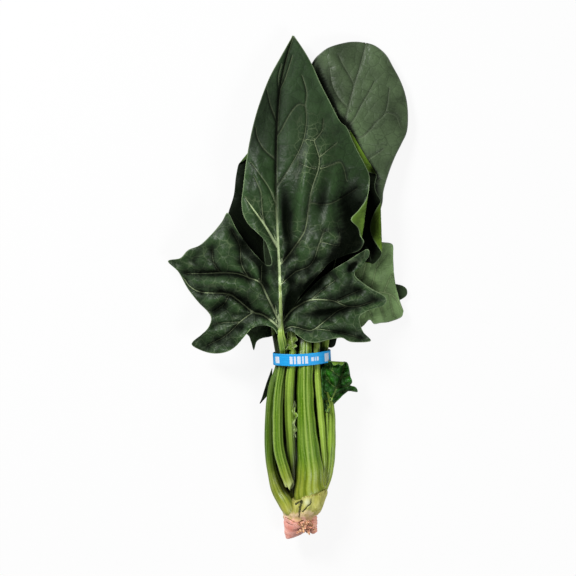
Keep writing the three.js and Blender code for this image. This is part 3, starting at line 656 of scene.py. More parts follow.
FRONT_MIDRIB = [(-4.6, -28.6), (-5.2, 0), (-6.5, 30), (-7.7, 58), (-7.6, 92), (-5.6, 122), (-1.8, 141),
                (3, 157)]
FRONT_LEFT = [
    (0, -6.8, -27.6), (0.006, -10.2, -23.9, 1.2), (0.012, -16.3, -22.5, 2.4), (0.018, -22.5, -24.3, 3.4),
    (0.024, -26.2, -28.2, 4.8), (0.029, -32.3, -35.4, 6.8), (0.034, -38.5, -39.1, 9),
    (0.039, -46.5, -40, 9), (0.044, -54.5, -37.9, 8), (0.049, -59.8, -34.2, 7), (0.053, -54.5, -29.3, 6),
    (0.058, -49.6, -24.3, 5), (0.062, -47.7, -18.8, 4), (0.067, -49.6, -14.5, 4), (0.073, -55.7, -8.3, 3),
    (0.081, -62.5, 0.3, 3), (0.09, -68, 10.2, 2.5), (0.097, -74.6, 16.9, 2), (0.103, -66.8, 18.8, 1.5),
    (0.108, -61.9, 23.7, -0.4), (0.114, -54.5, 26.8, -1.6), (0.122, -47.1, 33.6, -3),
    (0.13, -41, 41, -4.2), (0.137, -37.3, 46.5, -5), (0.15, -32, 36.5, -4.6), (0.165, -25, 26.5, -3.6),
    (0.18, -18.4, 18.8, -2.6), (0.193, -13.4, 14.4, -1.6), (0.206, -10.2, 15.5), (0.23, -11.8, 23, 0.5),
    (0.255, -14.5, 29.5, 1), (0.28, -19.5, 34.6, 1.5), (0.305, -24.8, 39.8, 2), (0.335, -27.8, 45.5, 2.5),
    (0.365, -28.8, 53, 3), (0.41, -28, 60.7, 3.5), (0.49, -26.2, 76.1, 4), (0.575, -23.7, 91.5, 4),
    (0.65, -20.6, 105, 4), (0.73, -16.3, 118.6, 3), (0.81, -11.4, 130.9, 2), (0.89, -4.8, 143.2, 0.8)]
FRONT_RIGHT = [
    (0, -2.4, -27.6), (0.003, 1.5, -26.2, 0.9), (0.006, 6.5, -29.3, 2.2), (0.009, 10.8, -32.3, 3.6),
    (0.012, 16.9, -33.2, 4.4), (0.015, 23.7, -31.7, 4.6), (0.018, 29.9, -30.5, 4.6),
    (0.021, 33.6, -30.5, 4.8), (0.024, 39, -33, 5.8), (0.027, 50.6, -32.4, 6), (0.03, 46.5, -27.4, 5),
    (0.033, 44.3, -22.5, 4), (0.036, 44, -17, 3), (0.039, 49.9, -13.2, 2.5), (0.042, 58.8, -10.2, 2),
    (0.044, 59.8, -5.2, 1), (0.047, 49.3, 0.9, -0.5), (0.049, 40.6, 8.6, -2), (0.0505, 45.4, 14.4, -2),
    (0.052, 49.6, 20.4, -2), (0.0535, 48.6, 24.2, -2.4), (0.055, 42, 20.6, -3), (0.057, 36, 16.8, -3.4),
    (0.06, 28, 12, -3.6), (0.064, 19.6, 6, -3.6), (0.068, 12.4, -1, -3.3), (0.073, 6, -8, -2.4),
    (0.078, 2.6, -12.4, -1), (0.094, 4.4, -9, -0.4), (0.114, 7, -5), (0.145, 10.2, -0.9),
    (0.185, 18.2, 8.3), (0.225, 25.6, 16.3, 0.5), (0.26, 35, 20.6, 1), (0.295, 43.6, 23.6, 1.5),
    (0.32, 47, 29.6, 1.8), (0.338, 50.4, 36, 2), (0.356, 56.3, 39.8, 2.4), (0.385, 53.4, 46.6, 2.8),
    (0.42, 50.8, 54, 3), (0.455, 50.2, 61.5, 3), (0.495, 49.7, 70, 3.5), (0.53, 47, 76.4, 3.8),
    (0.565, 43.3, 83.3, 4), (0.605, 39.6, 90.8, 4), (0.645, 35.9, 99.2, 4), (0.67, 31.5, 103.4, 3.5),
    (0.735, 25.6, 114.9, 2.6), (0.8, 19.4, 127.2, 1.8), (0.87, 14.6, 138.3, 1), (0.925, 9.2, 147.8, 0.4)]
FRONT_VEINS = [
    (FRONT_MIDRIB, 1.25, 0.2),
    ([(-7.1, 26), (-13.9, 37.9), (-21.9, 49), (-26.6, 56)], 1.1, 0.3),
    ([(-14.2, 38.4), (-16, 47), (-17, 58), (-21, 68)], 0.36, 0.14),
    ([(-8.3, 79), (-15.7, 85.9), (-19.6, 93.3), (-20.4, 99)], 0.35, 0.15),
    ([(-7.9, 52), (-12.5, 62), (-18, 70), (-23, 77)], 0.28, 0.12),
    ([(-7.3, 102), (-11.4, 113), (-13.4, 122)], 0.28, 0.12),
    ([(-5.8, 120), (-6.6, 130), (-4.8, 138)], 0.22, 0.12),
    ([(-4, 15.7), (2.8, 24.3), (9.5, 34.2), (11.4, 42.2), (12.6, 52.7), (14.5, 61.9), (18.2, 73),
      (18.8, 80.4), (15.7, 90.9)], 0.62, 0.25),
    ([(18.2, 73), (25, 75.5), (31.7, 78.2), (34.5, 74), (36, 66.8)], 0.3, 0.15),
    ([(18.8, 80.4), (24, 85), (29.3, 89.6)], 0.28, 0.12),
    ([(18.2, 73), (12, 74.5), (7, 77)], 0.22, 0.12),
    ([(15.7, 90.9), (20.6, 97), (21.4, 104)], 0.25, 0.12),
    ([(15.7, 90.9), (9.4, 92)], 0.22, 0.15),
    ([(-7.8, 62), (-3.4, 68.1), (2.8, 77.9), (8.9, 90.2), (11.1, 103.8), (10.2, 113)], 0.34, 0.18),
    ([(-7.4, 94), (-4.6, 98), (0.9, 108.1), (5.9, 113.7), (10.2, 113)], 0.3, 0.18),
    ([(10.2, 113), (11, 121), (8.4, 131)], 0.2, 0.12),
    ([(-5, 124), (-2.2, 130), (2.2, 143.8)], 0.24, 0.12),
    ([(-5.2, 2), (4, 10), (14, 15), (19.4, 28.8), (22, 36)], 0.36, 0.16),
    ([(19.4, 28.8), (26, 27), (31.1, 25.9)], 0.22, 0.12),
    ([(31.1, 25.9), (31.6, 30), (31.1, 34.2)], 0.2, 0.12),
    ([(13, 53), (24, 52), (34, 57), (42, 62)], 0.22, 0.12),
    ([(-4.9, -24), (-6, -20), (-13.2, -4.6), (-17.6, 3.7), (-24.3, 6.5), (-31.3, 9.2), (-41.8, 9.7),
      (-51.7, 9.2), (-62.6, 9.2)], 0.85, 0.26),
    ([(-16.9, 4.6), (-16.6, 9), (-16.3, 13.9)], 0.45, 0.2),
    ([(-24.3, 6.5), (-29, 15), (-30, 26), (-35, 36)], 0.36, 0.16),
    ([(-41.8, 9.7), (-46, 16), (-47, 24)], 0.22, 0.12),
    ([(-4.6, -27), (-7.7, -22.2), (-15.9, -16.1), (-21.9, -14.5), (-31.3, -6.8), (-36.3, -3.4),
      (-44, -2.8), (-54.5, -2.2), (-61, 1.5), (-64.4, 5.9)], 0.9, 0.26),
    ([(-21.9, -14.5), (-29.9, -20.6), (-34.8, -25.6), (-41, -30.5), (-49.6, -34.8)], 0.46, 0.2),
    ([(-36.3, -3.4), (-40, -10), (-46, -14)], 0.22, 0.12),
    ([(-29.9, -20.6), (-38, -21), (-45, -22)], 0.22, 0.12),
    ([(-4.6, -22), (0.3, -15.2), (6.3, -10.4), (13.9, -7), (24, -7), (28.6, -7.9), (35.2, -10.5),
      (41.6, -11.1), (52, -8)], 0.66, 0.2),
    ([(13.9, -7), (22, 0), (29, 5)], 0.25, 0.12),
    ([(28.6, -7.9), (37, -4), (44, -1)], 0.22, 0.12),
    ([(-4.2, -26.5), (2.2, -23.4), (12, -25.6), (16.3, -24.7), (24, -18.8), (29.9, -14), (35.8, -11.1)],
     0.42, 0.2),
    ([(16.3, -24.7), (26, -26), (36, -28), (45, -30.5)], 0.25, 0.12)]

# Broad folds of this leaf alone: (x, y, half length, half width, turn from the +Y axis, rise).
FRONT_FOLDS = [
    (9.5, 63, 21, 3, 8, 3.6), (0.5, 40, 24, 4.4, -8, -5), (0, 92, 24, 4, 0, 0.5),
    (21.5, 57, 16, 4.2, 11, -5), (36, 52, 10, 8, 0, -2.5), (27, 30, 13, 5, 58, 3.6),
    (42, 30, 8, 5, 45, -2.5), (31, 19, 12, 3, 58, -3), (20, 10, 14, 4, 52, 1.2),
    (40, 13.5, 4, 2, 48, -2.5), (16, 2, 18, 4.2, 50, -5.5), (0, -9, 18, 2.6, 11, -4),
    (8, -2, 10, 2.2, 25, 1.8), (21, -8, 15, 2.5, 95, 1.8), (22, -14.5, 13, 2.6, 80, -3.2),
    (22, -24, 14, 4.5, 85, 2.6), (40, -25, 7, 5, 0, 1.4), (46, -5, 8, 6, 60, 1.6),
    (37, -14, 5, 5, 0, -2), (30, 3, 12, 5, 55, 1.8), (-20, 68, 18, 5, 5, 1.2),
    (-16, 62, 14, 4.5, -15, 1.8), (-23, 47, 7, 3, -35, 1.4), (-17, 43, 10, 2, -35, -1.4),
    (-18, 32, 14, 3.5, -35, 2), (-25, 27, 15, 4, -37, -4), (-42, 26, 10, 8, -30, 2.4),
    (-55, 14, 8, 6, -70, -1.6), (-45, 9.5, 18, 2, -88, -1.4), (-35, 2, 12, 4.5, -75, 2.6),
    (-30, -8, 12, 2, -60, -1.4), (-48, -6, 7, 6, 0, 1.8), (-38, -14, 8, 4, -60, -1.8),
    (-46, -28, 12, 7, 60, 2.4), (-30, -27, 6, 5, 20, -1.8), (-19, 8, 6, 2, 10, 1.6),
    (-11, -3, 14, 3, -25, -2), (5, 132, 18, 5, 18, 0.5), (44, 80, 13, 6, -20, 1.2),
    (24, 100, 14, 7, -15, -0.8)]


def folds(x, y, hills):
    """The sum of long rounded hills and hollows, each a bell in its own turned length and width."""
    total = np.zeros_like(x)
    for middle_x, middle_y, length, width, turn, rise in hills:
        c, d = math.cos(math.radians(turn)), math.sin(math.radians(turn))
        along = (x - middle_x) * d + (y - middle_y) * c
        across = (x - middle_x) * c - (y - middle_y) * d
        total += rise * np.exp(-((along / length) ** 2) - (across / width) ** 2)
    return total


def front_height(plan, fields):
    """Height of the front leaf: its place on top of the heap; its own folds; a crease along the midrib
    in the upper half; cushions between the veins; a crumple of rounded swells that meet in creases,
    deeper on the lobes; sunken veins; and a wavy margin."""
    x, y = plan["x"], plan["y"]
    plain, size = fields[1], fields[2]
    off_midrib = np.abs(x - np.interp(y, [p[1] for p in FRONT_MIDRIB], [p[0] for p in FRONT_MIDRIB]))
    blade_share = ease((y - 22) / 25)
    lobe = 1 - blade_share
    calm = 1 - 0.75 * ease((y - 66) / 25)
    z = heap_level(x, y, 29.8, 1.0) + folds(x, y, FRONT_FOLDS) * ease((y + 34) / 12)
    z -= 1.3 * ease((y - 35) / 30) * np.exp(-off_midrib / 1.8)
    z += (0.6 * blade_share * calm + 2.5 * lobe) * (1 - np.exp(-((plain / 4.0) ** 2)))
    z -= 0.65 * np.exp(-((plain / (0.55 + size)) ** 2))
    z += (0.35 * blade_share * calm + 0.9 * lobe) * swell(x, y, 24, 3)
    z += (0.3 * blade_share * calm + 1.1 * lobe) * (np.abs(swell(x, y, 18, 21)) - 0.6)
    z += (0.12 * blade_share + 0.26 * lobe) * (np.abs(swell(x, y, 9, 4)) - 0.6)
    z += (0.05 + 0.06 * lobe) * swell(x, y, 5, 9)
    z += (0.2 * calm + 0.45 * lobe) * (ease(cells(x, y, 9.0, 5) * 1.6) - 0.5)
    edge = np.abs(plan["v"])[None, :] ** 8
    z += edge * (0.7 + 0.6 * lobe) * swell(x, y, 15, 6)
    return z


def front_vein_pale(x, y):
    """The veins are pale ribs near the base and low on the left, thin pale lines right of the midrib, and
    dark creases of painted shade elsewhere."""
    base = np.clip(1 - (y - 12) / 45, 0.06, 1)
    right_net = 0.66 * bell(x, y, 14, 84, 14, 28)
    left_rib = 0.95 * np.exp(-(((x + 18) / 10) ** 4) - ((y - 42) / 14) ** 4)
    return np.maximum(np.maximum(base, right_net), left_rib)


def front_shape(points):
    """The right margin rolled over on itself, with its pale underside up."""
    return roll_over(points, (44.2, 34), (48.6, 64), 1.3, 168, tilt=0.95)


front_skin = leaf_skin("front_leaf_skin", (0.024, 0.053, 0.017), (0.10, 0.19, 0.02), (0.58, 0.72, 0.38),
                       (0.2, 0.32, 0.1), rim=(0.24, 0.33, 0.17), roughness=0.42, shine=0.21, bump=0.8,
                       deepest=4.0, dull_tip=0.24)
spines = {}  # the line of points along each blade's midrib, by the blade's name
spines["front_leaf"] = blade("front_leaf", FRONT_MIDRIB, FRONT_LEFT, FRONT_RIGHT, FRONT_VEINS,
                             front_height, front_skin, grid=(400, 50), shape=front_shape,
                             vein_pale=front_vein_pale)

# ---- Leaves behind the front leaf ----------------------------------
# The other large leaves of the plant, heaped behind the front leaf in the order in which they were
# gathered. Each is a plain or lobed blade like the front one. The one at the far right lies face down,
# and the margin of the one next to it is folded back, so both show the paler underside.

# The first colour is near black: painted shade for the upper sides of leaves that lie in shade under
# others, and for the face-down side of the pale right leaf.
PAINTED_SHADE_TOP, DARK_UNDER = (0.005, 0.0105, 0.0035), (0.06, 0.12, 0.024)
COVERED_TOP, COVERED_UNDER = (0.021, 0.044, 0.012), (0.075, 0.15, 0.03)
LEAF_VEIN, UNDER_VEIN = (0.15, 0.24, 0.075), (0.2, 0.31, 0.1)

# A leaf finish painted near black all over its upper side: painted shade.
painted_shade_skin = leaf_skin("dark_leaf_skin", PAINTED_SHADE_TOP, DARK_UNDER, (0.03, 0.055, 0.015), UNDER_VEIN,
                      shine=0.07, darkest=0.4)
covered_skin = leaf_skin("covered_leaf_skin", COVERED_TOP, COVERED_UNDER, (0.09, 0.15, 0.04), UNDER_VEIN,
                         shine=0.3, darkest=0.6, deepest=7.0)
tall_skin = leaf_skin("tall_leaf_skin", (0.068, 0.106, 0.048), (0.1, 0.17, 0.05), (0.36, 0.46, 0.27),
                      UNDER_VEIN, bump=0.8, mottle=0.7)
# Its upper side and veins are near black: painted shade where it lies under the front leaf's margin.
folded_skin = leaf_skin("folded_leaf_skin", (0.007, 0.014, 0.004), (0.11, 0.2, 0.02), (0.02, 0.04, 0.01),
                        UNDER_VEIN, shine=0.07, rim=(0.13, 0.18, 0.1))
pale_skin = leaf_skin("pale_leaf_skin", (0.21, 0.34, 0.13), PAINTED_SHADE_TOP, (0.36, 0.5, 0.22), LEAF_VEIN,
                      net_size=5.0, roughness=0.5, bump=1.0, darkest=0.55, deepest=8.0, mottle=0.6)

LOWEST_LEAF = 0.55  # the least height of a blade's middle surface above the table

# For each leaf: its base height and level in the heap, its pairs of side veins or the veins themselves,
# the height of its waves, its plan, and the stretches of its margin that have rolled over, as roll_over
# takes them. A margin's points are (share of the midrib, x, y), with a bend where the rows there bow.
LEAVES = {
    "bottom_leaf": dict(
        base=2.2, level=0.013, pairs=7, wave=0.25, skin=covered_skin, grid=(110, 26), rib=0.2,
        midrib=[(10.8, -24), (9, 15), (6, 60), (8, 122)],
        left=[(0, 8, -24), (0.1, -6, -15, 2), (0.22, -18, 0, 3), (0.4, -22, 30, 4), (0.6, -20, 60, 4),
              (0.8, -12, 92, 3), (0.93, 0, 114, 1)],
        right=[(0, 13.6, -24), (0.1, 26, -15, 2), (0.22, 38, 2, 3), (0.4, 44, 30, 4), (0.6, 40, 60, 4),
               (0.8, 30, 92, 3), (0.93, 18, 114, 1)]),
    "under_left_leaf": dict(
        base=4.4, level=0.11, pairs=6, wave=0.5, skin=covered_skin, grid=(140, 28), rib=0.6,
        midrib=[(3.4, -38), (2, -26), (-3, 10), (-8, 50), (-10, 98)],
        left=[(0, -2.4, -40), (0.05, -3.6, -33), (0.09, -4.6, -27), (0.15, -14, -18, 2),
              (0.24, -27, -4, 3), (0.4, -30, 18, 4), (0.6, -27, 46, 4), (0.78, -22, 72, 3),
              (0.91, -16, 90, 1)],
        right=[(0, 7.4, -38), (0.05, 9.6, -33), (0.1, 12, -26), (0.2, 16, -14, 2), (0.36, 22, 14, 3),
               (0.54, 21, 42, 4), (0.73, 14, 68, 3), (0.89, 2, 90, 1)]),
    "lower_right_leaf": dict(
        base=6.6, level=0.19, pairs=6, wave=0.8, skin=covered_skin, grid=(150, 30),
        midrib=[(19, -24), (32, -8), (44, 14), (49, 40), (45, 76)],
        left=[(0, 16.5, -22.4), (0.2, 18, 2, 2), (0.4, 24, 28, 3), (0.6, 30, 50, 3), (0.8, 37, 66, 2)],
        right=[(0, 21.5, -25.5), (0.08, 36, -22, 3), (0.14, 52, -14, 4), (0.2, 66, -8.5, 4),
               (0.235, 72.8, -4.8, 3), (0.26, 73.5, -1, 3), (0.29, 71, 1.6, 2), (0.38, 64, 4, 1),
               (0.5, 62, 14, 1), (0.62, 58, 26, 1), (0.75, 54, 42, 1), (0.88, 50, 62, 0.5)]),
    "lower_left_leaf": dict(
        base=8.8, level=0.27, pairs=4, wave=0.7, skin=covered_skin, grid=(120, 28),
        midrib=[(-6, -26), (-20, -18), (-36, -2), (-52, 18)],
        left=[(0, -8, -28.5), (0.05, -11.5, -29.8, 0.5), (0.09, -16.5, -30.8, 1.5),
              (0.13, -19.8, -33, 2.5), (0.15, -21.5, -38.1, 3), (0.17, -23.2, -33, 2.5),
              (0.22, -25.5, -28.5, 2), (0.4, -36, -22, 2), (0.6, -46, -10, 2), (0.8, -53, 4, 1)],
        right=[(0, -5, -23.2), (0.2, -10, -8), (0.45, -22, 14), (0.7, -36, 28), (0.88, -46, 27)]),
    "right_inner_leaf": dict(
        base=11.2, level=0.35, pairs=6, wave=0.8, skin=painted_shade_skin, grid=(150, 28),
        midrib=[(14, -27), (20, 5), (28, 40), (30, 78)],
        left=[(0, 11.3, -26.5), (0.15, 4, -10, 2), (0.35, 0, 16, 3), (0.55, 4, 42, 3), (0.75, 14, 64, 2),
              (0.9, 23, 75, 1)],
        right=[(0, 16.7, -27.5), (0.03, 20, -31, 1), (0.06, 24.5, -36.2, 2), (0.09, 28.5, -35.5, 3),
               (0.13, 30.5, -29, 2), (0.2, 36, -14, 2), (0.35, 46, 8, 3), (0.55, 50, 34, 3),
               (0.75, 46, 58, 2), (0.9, 38, 73, 1)]),
    "pale_right_leaf": dict(
        base=14.2, level=0.44, pairs=5, wave=1.0, skin=pale_skin, slot="pale_blade",
        grid=(170, 44), rib=-0.4, vein_pale=0.85,
        midrib=[(24.5, -20), (38, -10), (52, -3), (64, -4), (71.4, -14)],
        left=[(0, 22.5, -17.5), (0.15, 26, 2), (0.35, 40, 20), (0.5, 50, 29), (0.6, 58.2, 28.6),
              (0.67, 64.3, 27.4), (0.7, 64.9, 22), (0.76, 65, 15), (0.84, 66, 4), (0.93, 68.8, -7)],
        right=[(0, 26.5, -22.5), (0.2, 36, -26, 1), (0.4, 45, -24, 1), (0.5, 50, -19.4, 0.5),
               (0.56, 53, -21.9, 0.5), (0.66, 57, -21.3, 0.3), (0.78, 62.3, -20.7), (0.92, 69.8, -17.8)]),
    "left_leaf": dict(
        base=16.4, level=0.52, pairs=6, wave=0.9, skin=painted_shade_skin, grid=(150, 32),
        rolls=[((-22.2, 86.4), (-30.2, 76.6), 0.6, 160, 0.45)],
        midrib=[(-9, -22), (-15, 10), (-19, 50), (-16, 85), (-6, 118)],
        left=[(0, -11.5, -21.5), (0.12, -22, -8, 2), (0.25, -34, 12, 3), (0.38, -39, 34, 3),
              (0.46, -37.3, 46, 3), (0.54, -33.8, 57.6, 3), (0.62, -32.3, 69.9, 2), (0.7, -29.9, 81, 2),
              (0.74, -27.6, 86.6, 1.5), (0.78, -24, 89.6, 1), (0.88, -16, 105, 1)],
        right=[(0, -6.5, -21.8), (0.25, -3, 5, 1), (0.46, 3, 36, 3), (0.7, 8, 70, 3), (0.88, 4, 100, 1)]),
    "middle_leaf": dict(
        base=18.6, level=0.61, pairs=6, wave=0.7, skin=covered_skin, grid=(140, 28),
        midrib=[(2, -24), (6, 10), (12, 50), (15, 90), (12, 118)],
        left=[(0, -0.4, -23.6), (0.12, -8, -8, 2), (0.3, -15, 20, 3), (0.5, -14, 50, 4), (0.7, -9, 82, 3),
              (0.88, 0, 108, 1)],
        right=[(0, 4.4, -23.6), (0.12, 14, -10, 2), (0.3, 28, 16, 3), (0.5, 36, 46, 4), (0.7, 34, 78, 3),
               (0.88, 24, 106, 1)]),
    "tall_round_leaf": dict(
        base=21.8, level=0.71, wave=1.0, skin=tall_skin, grid=(260, 44), vein_pale=0.12,
        midrib=[(10.5, -20), (14, 15), (24, 60), (34.9, 104), (40.6, 126), (44.1, 137), (48, 152.4)],
        veins=[([(34.8, 98), (40, 104), (44, 112), (49, 120.4), (53, 128)], 0.42, 0.15),
               ([(40.6, 126), (37.4, 132), (34.2, 137.3), (31, 144)], 0.42, 0.15),
               ([(38, 110), (31, 118), (27, 126), (25.5, 136)], 0.42, 0.15),
               ([(34.5, 97), (44, 93.3), (51, 99), (53.7, 102.6), (60, 109), (62.5, 123.8)], 0.55, 0.2),
               ([(60, 109), (66.6, 107.5), (69.8, 100)], 0.36, 0.14),
               ([(28, 76), (40, 74), (51.4, 81.3), (58.2, 86)], 0.46, 0.16),
               ([(21, 50), (36, 52), (48, 60), (56, 68)], 0.44, 0.15),
               ([(34, 96), (27, 102), (20, 108), (16, 116)], 0.38, 0.14),
               ([(25, 66), (18, 72), (13, 80)], 0.3, 0.12), ([(17, 30), (28, 34), (38, 40)], 0.3, 0.12)],
        left=[(0, 8.0, -20), (0.15, 7, 8), (0.3, 6, 38, 2), (0.42, 7, 65, 4), (0.54, 9, 92, 4),
              (0.64, 10.5, 117, 4), (0.72, 12, 132, 4), (0.78, 15.5, 140.9, 4), (0.84, 20.5, 146.2, 3),
              (0.89, 26, 149.7, 3), (0.93, 34.8, 152.3, 2), (0.965, 41, 153, 1)],
        right=[(0, 13.0, -20), (0.15, 22, 2), (0.3, 38, 20, 2), (0.4, 52, 38, 3), (0.46, 57.6, 51.4, 3),
               (0.5, 58.8, 60.7, 3), (0.55, 62.5, 73, 3), (0.59, 66.2, 82.2, 3), (0.62, 69.9, 89.6, 3),
               (0.655, 73.4, 97.6, 3), (0.7, 74, 109, 3), (0.75, 72.7, 119.2, 3), (0.8, 69.4, 128.8, 3),
               (0.85, 64.6, 137.8, 3), (0.9, 60.4, 145, 2), (0.95, 54, 150.4, 1)]),
    "folded_right_leaf": dict(
        base=24.6, level=0.82, pairs=6, wave=0.6, skin=folded_skin, grid=(220, 44),
        rolls=[((52.2, 72), (38.4, 95), 0.9, 172, 0.8), ((56.6, 23), (55.8, 50), 1.1, 165, 0.75)],
        midrib=[(17.5, -22), (26, 5), (33, 40), (34, 75), (28, 112)],
        left=[(0, 15.5, -21.4), (0.15, 10, 5, 2), (0.35, 8, 35, 3), (0.55, 9, 65, 3), (0.75, 14, 92, 2),
              (0.9, 22, 107, 1)],
        right=[(0, 19.5, -22.6), (0.1, 27, -4, 1), (0.18, 34, 8, 1.5), (0.24, 43, 17, 2),
               (0.28, 49.6, 20.4, 2), (0.3, 52.6, 15.2, 1), (0.33, 60, 24, 2), (0.4, 65.5, 35, 1),
               (0.47, 64, 44, 1), (0.53, 58.4, 52.8, 1), (0.58, 54.4, 59, 1), (0.62, 53.4, 64, 1),
               (0.67, 54.8, 70.6, 1), (0.73, 56.6, 82, 1), (0.8, 50.5, 92.5, 1), (0.85, 41, 97.6, 0.5),
               (0.89, 34.6, 98.6, 0.5), (0.94, 31, 104, 0.3)])}


def covered_height(leaf, seed):
    """The height function of a covered leaf: its own level in the heap, cushions and a slow swell that
    keep within the room it has there, sunken veins and a wavy margin."""
    def height(plan, fields):
        x, y = plan["x"], plan["y"]
        plain, size = fields[1], fields[2]
        room = leaf["wave"] * heap_fall(x, 0.7)
        z = heap_level(x, y, leaf["base"], leaf["level"])
        z += room * (0.7 * swell(x, y, 28, seed) + 0.5 * (1 - np.exp(-((plain / 5) ** 2))))
        z += room * 0.3 * swell(x, y, 12, seed + 40)
        z -= room * 0.5 * np.exp(-((plain / (1.2 + size)) ** 2))
        z += room * np.abs(plan["v"])[None, :] ** 8 * 0.8 * swell(x, y, 16, seed + 80)
        return np.maximum(z, LOWEST_LEAF)
    return height


def plain_veins(leaf, seed, size):
    """The veins of a plain leaf, as a function of its plan."""
    def veins(plan):
        return pinnate_veins(plan, leaf["midrib"], leaf["pairs"], seed, size)
    return veins


def rolled_margins(leaf):
    """The shape function of a leaf some of whose margin has rolled over."""
    def shape(points):
        for roll in leaf.get("rolls", ()):
            points = roll_over(points, *roll)
        return points
    return shape


for seed, (leaf_name, leaf) in enumerate(LEAVES.items(), 11):
    leaf_veins = plain_veins(leaf, seed, 0.5)
    if "veins" in leaf:
        leaf_veins = [(leaf["midrib"], 1.1, 0.3)] + leaf["veins"]
    spines[leaf_name] = blade(leaf_name, leaf["midrib"], leaf["left"], leaf["right"], leaf_veins,
                              covered_height(leaf, seed), leaf["skin"], leaf.get("slot", "blade"),
                              leaf["grid"], rolled_margins(leaf), leaf.get("rib", 1.4),
                              leaf.get("vein_pale", 0.12))

# ---- Small leaves --------------------------------------------------
# Four young leaves that were caught in the bunch: a crinkled one that hangs out below the band, a pale
# one just above the band, a tiny curled one between the stalks, and a dark tip at the left. They are
# blades like the others, and each lies on a plane of its own.

side_skin = leaf_skin("side_leaf_skin", (0.011, 0.085, 0.003), (0.2, 0.36, 0.03), (0.36, 0.56, 0.12),
                      UNDER_VEIN, net_size=4.0, roughness=0.36, bump=1.0, shine=0.25, darkest=0.4,
                      mottle=1.1)
young_skin = leaf_skin("young_leaf_skin", (0.22, 0.37, 0.035), (0.2, 0.34, 0.06), (0.5, 0.64, 0.24),
                       UNDER_VEIN, net_size=3.0, bump=1.0, darkest=0.45, mottle=1.0)

# plane is [x, y, z, rise for each mm along x, and along y]: a place on the plane, and its slopes.
SMALL_LEAVES = {
    "side_leaf": dict(
        plane=(23, -76, 24.8, -0.6, 0.02), pairs=4, wave=2.2, skin=side_skin, grid=(130, 44),
        rolls=[((38.6, -57), (36.6, -47), 0.8, 120), ((33.8, -46), (24.6, -45.4), 0.6, 150, 0.4, 3.0)],
        midrib=[(23.6, -76), (28, -65), (32.5, -55), (34.8, -44.6)],
        left=[(0, 22.9, -75.6), (0.2, 21.4, -70), (0.35, 20.6, -64), (0.5, 20.4, -56), (0.62, 20.2, -50),
              (0.72, 21.4, -47.4), (0.78, 24.2, -45.4), (0.82, 26.6, -43.8), (0.86, 28.4, -41.6),
              (0.91, 31, -42.9), (0.95, 33.2, -42.4)],
        right=[(0, 24.4, -76), (0.1, 26, -73.6), (0.2, 30.5, -68.9), (0.32, 34.8, -65),
               (0.4, 38.4, -62.8), (0.47, 42.6, -64), (0.53, 41.6, -61), (0.6, 38.2, -60),
               (0.68, 39.4, -57.6), (0.76, 38.2, -54), (0.86, 37.4, -49), (0.93, 36.4, -46.2)]),
    "young_leaf": dict(
        plane=(2.6, -36, 25.6, 0.1, 0.06), pairs=3, wave=1.5, skin=young_skin, grid=(100, 26),
        midrib=[(3.4, -39.4), (1.8, -30), (1, -18)],
        left=[(0, 2.6, -39.2), (0.08, 0.4, -37.6), (0.14, -1.6, -37.8), (0.2, -0.4, -35.2),
              (0.3, -2.4, -33.4), (0.42, -1, -30.6), (0.7, -0.8, -24)],
        right=[(0, 4.2, -39.2), (0.1, 3.2, -37), (0.18, 5.2, -35.4), (0.27, 3.6, -33.6),
               (0.36, 5.6, -31.6), (0.46, 4.4, -29), (0.7, 4.3, -23)]),
    "curled_leaf": dict(
        plane=(3.8, -92, 25, 0.1, 0.03), pairs=3, wave=1.9, skin=young_skin, grid=(120, 24),
        midrib=[(3.8, -92), (3.4, -81), (3.8, -69)],
        left=[(0, 3.2, -91.8), (0.12, 2.6, -89.6), (0.2, 1.2, -88), (0.28, 2.8, -86), (0.4, 2.4, -83),
              (0.5, 0.4, -80.4), (0.58, 2.4, -78.6), (0.7, 1.6, -75), (0.82, 3, -72.6)],
        right=[(0, 4.4, -91.8), (0.15, 4, -89), (0.25, 5.4, -87), (0.36, 3.8, -84), (0.5, 4.4, -81),
               (0.62, 5.8, -78), (0.72, 4, -75.6), (0.84, 4.8, -72.6)]),
    "left_small_leaf": dict(
        plane=(-11, -66, 9.4, 0.02, 0), pairs=3, wave=0.5, skin=painted_shade_skin, grid=(90, 16),
        midrib=[(-12, -66), (-11.4, -58), (-10.2, -49.6)],
        left=[(0, -13.2, -65.9), (0.06, -14.8, -68.2), (0.12, -17.8, -71.3), (0.2, -16.4, -67.6),
              (0.35, -15, -63), (0.6, -12.8, -56.4)],
        right=[(0, -10.9, -66.1), (0.5, -10.4, -58)])}


def small_height(leaf, seed):
    """The height function of a small leaf: its own plane, deep crinkles, sunken veins and a frilled
    margin."""
    x0, y0, z0, along_x, along_y = leaf["plane"]

    def height(plan, fields):
        x, y = plan["x"], plan["y"]
        z = z0 + along_x * (x - x0) + along_y * (y - y0)
        z += leaf["wave"] * (0.8 * swell(x, y, 13, seed) + 0.45 * swell(x, y, 5, seed + 1))
        z += leaf["wave"] * 0.3 * (ease(cells(x, y, 3.2, seed) * 1.5) - 0.5)
        z -= 0.5 * leaf["wave"] * np.exp(-((fields[1] / 1.2) ** 2))
        return z + leaf["wave"] * np.abs(plan["v"])[None, :] ** 5 * swell(x, y, 8, seed + 2)
    return height


def small_vein_pale(x, y):
    """The veins are pale, but fade towards the outer half of the side leaf, which alone reaches so
    far."""
    return 1 - 0.8 * ease((x - 25.5) / 5)


for seed, (leaf_name, leaf) in enumerate(SMALL_LEAVES.items(), 31):
    spines[leaf_name] = blade(leaf_name, leaf["midrib"], leaf["left"], leaf["right"],
                              plain_veins(leaf, seed, 0.3), small_height(leaf, seed), leaf["skin"],
                              grid=leaf["grid"], shape=rolled_margins(leaf), rib=0.8,
                              vein_pale=small_vein_pale)

# ---- Stalks --------------------------------------------------------
# The leaf stalks: juicy and ribbed like celery, with rounded ridges and sharp grooves between them.
# They are broad and pale at the foot, where they are fused with the crown, and greener towards the
# blade, which they enter as its midrib. The front leaf's stalk has snapped off short of the crown.

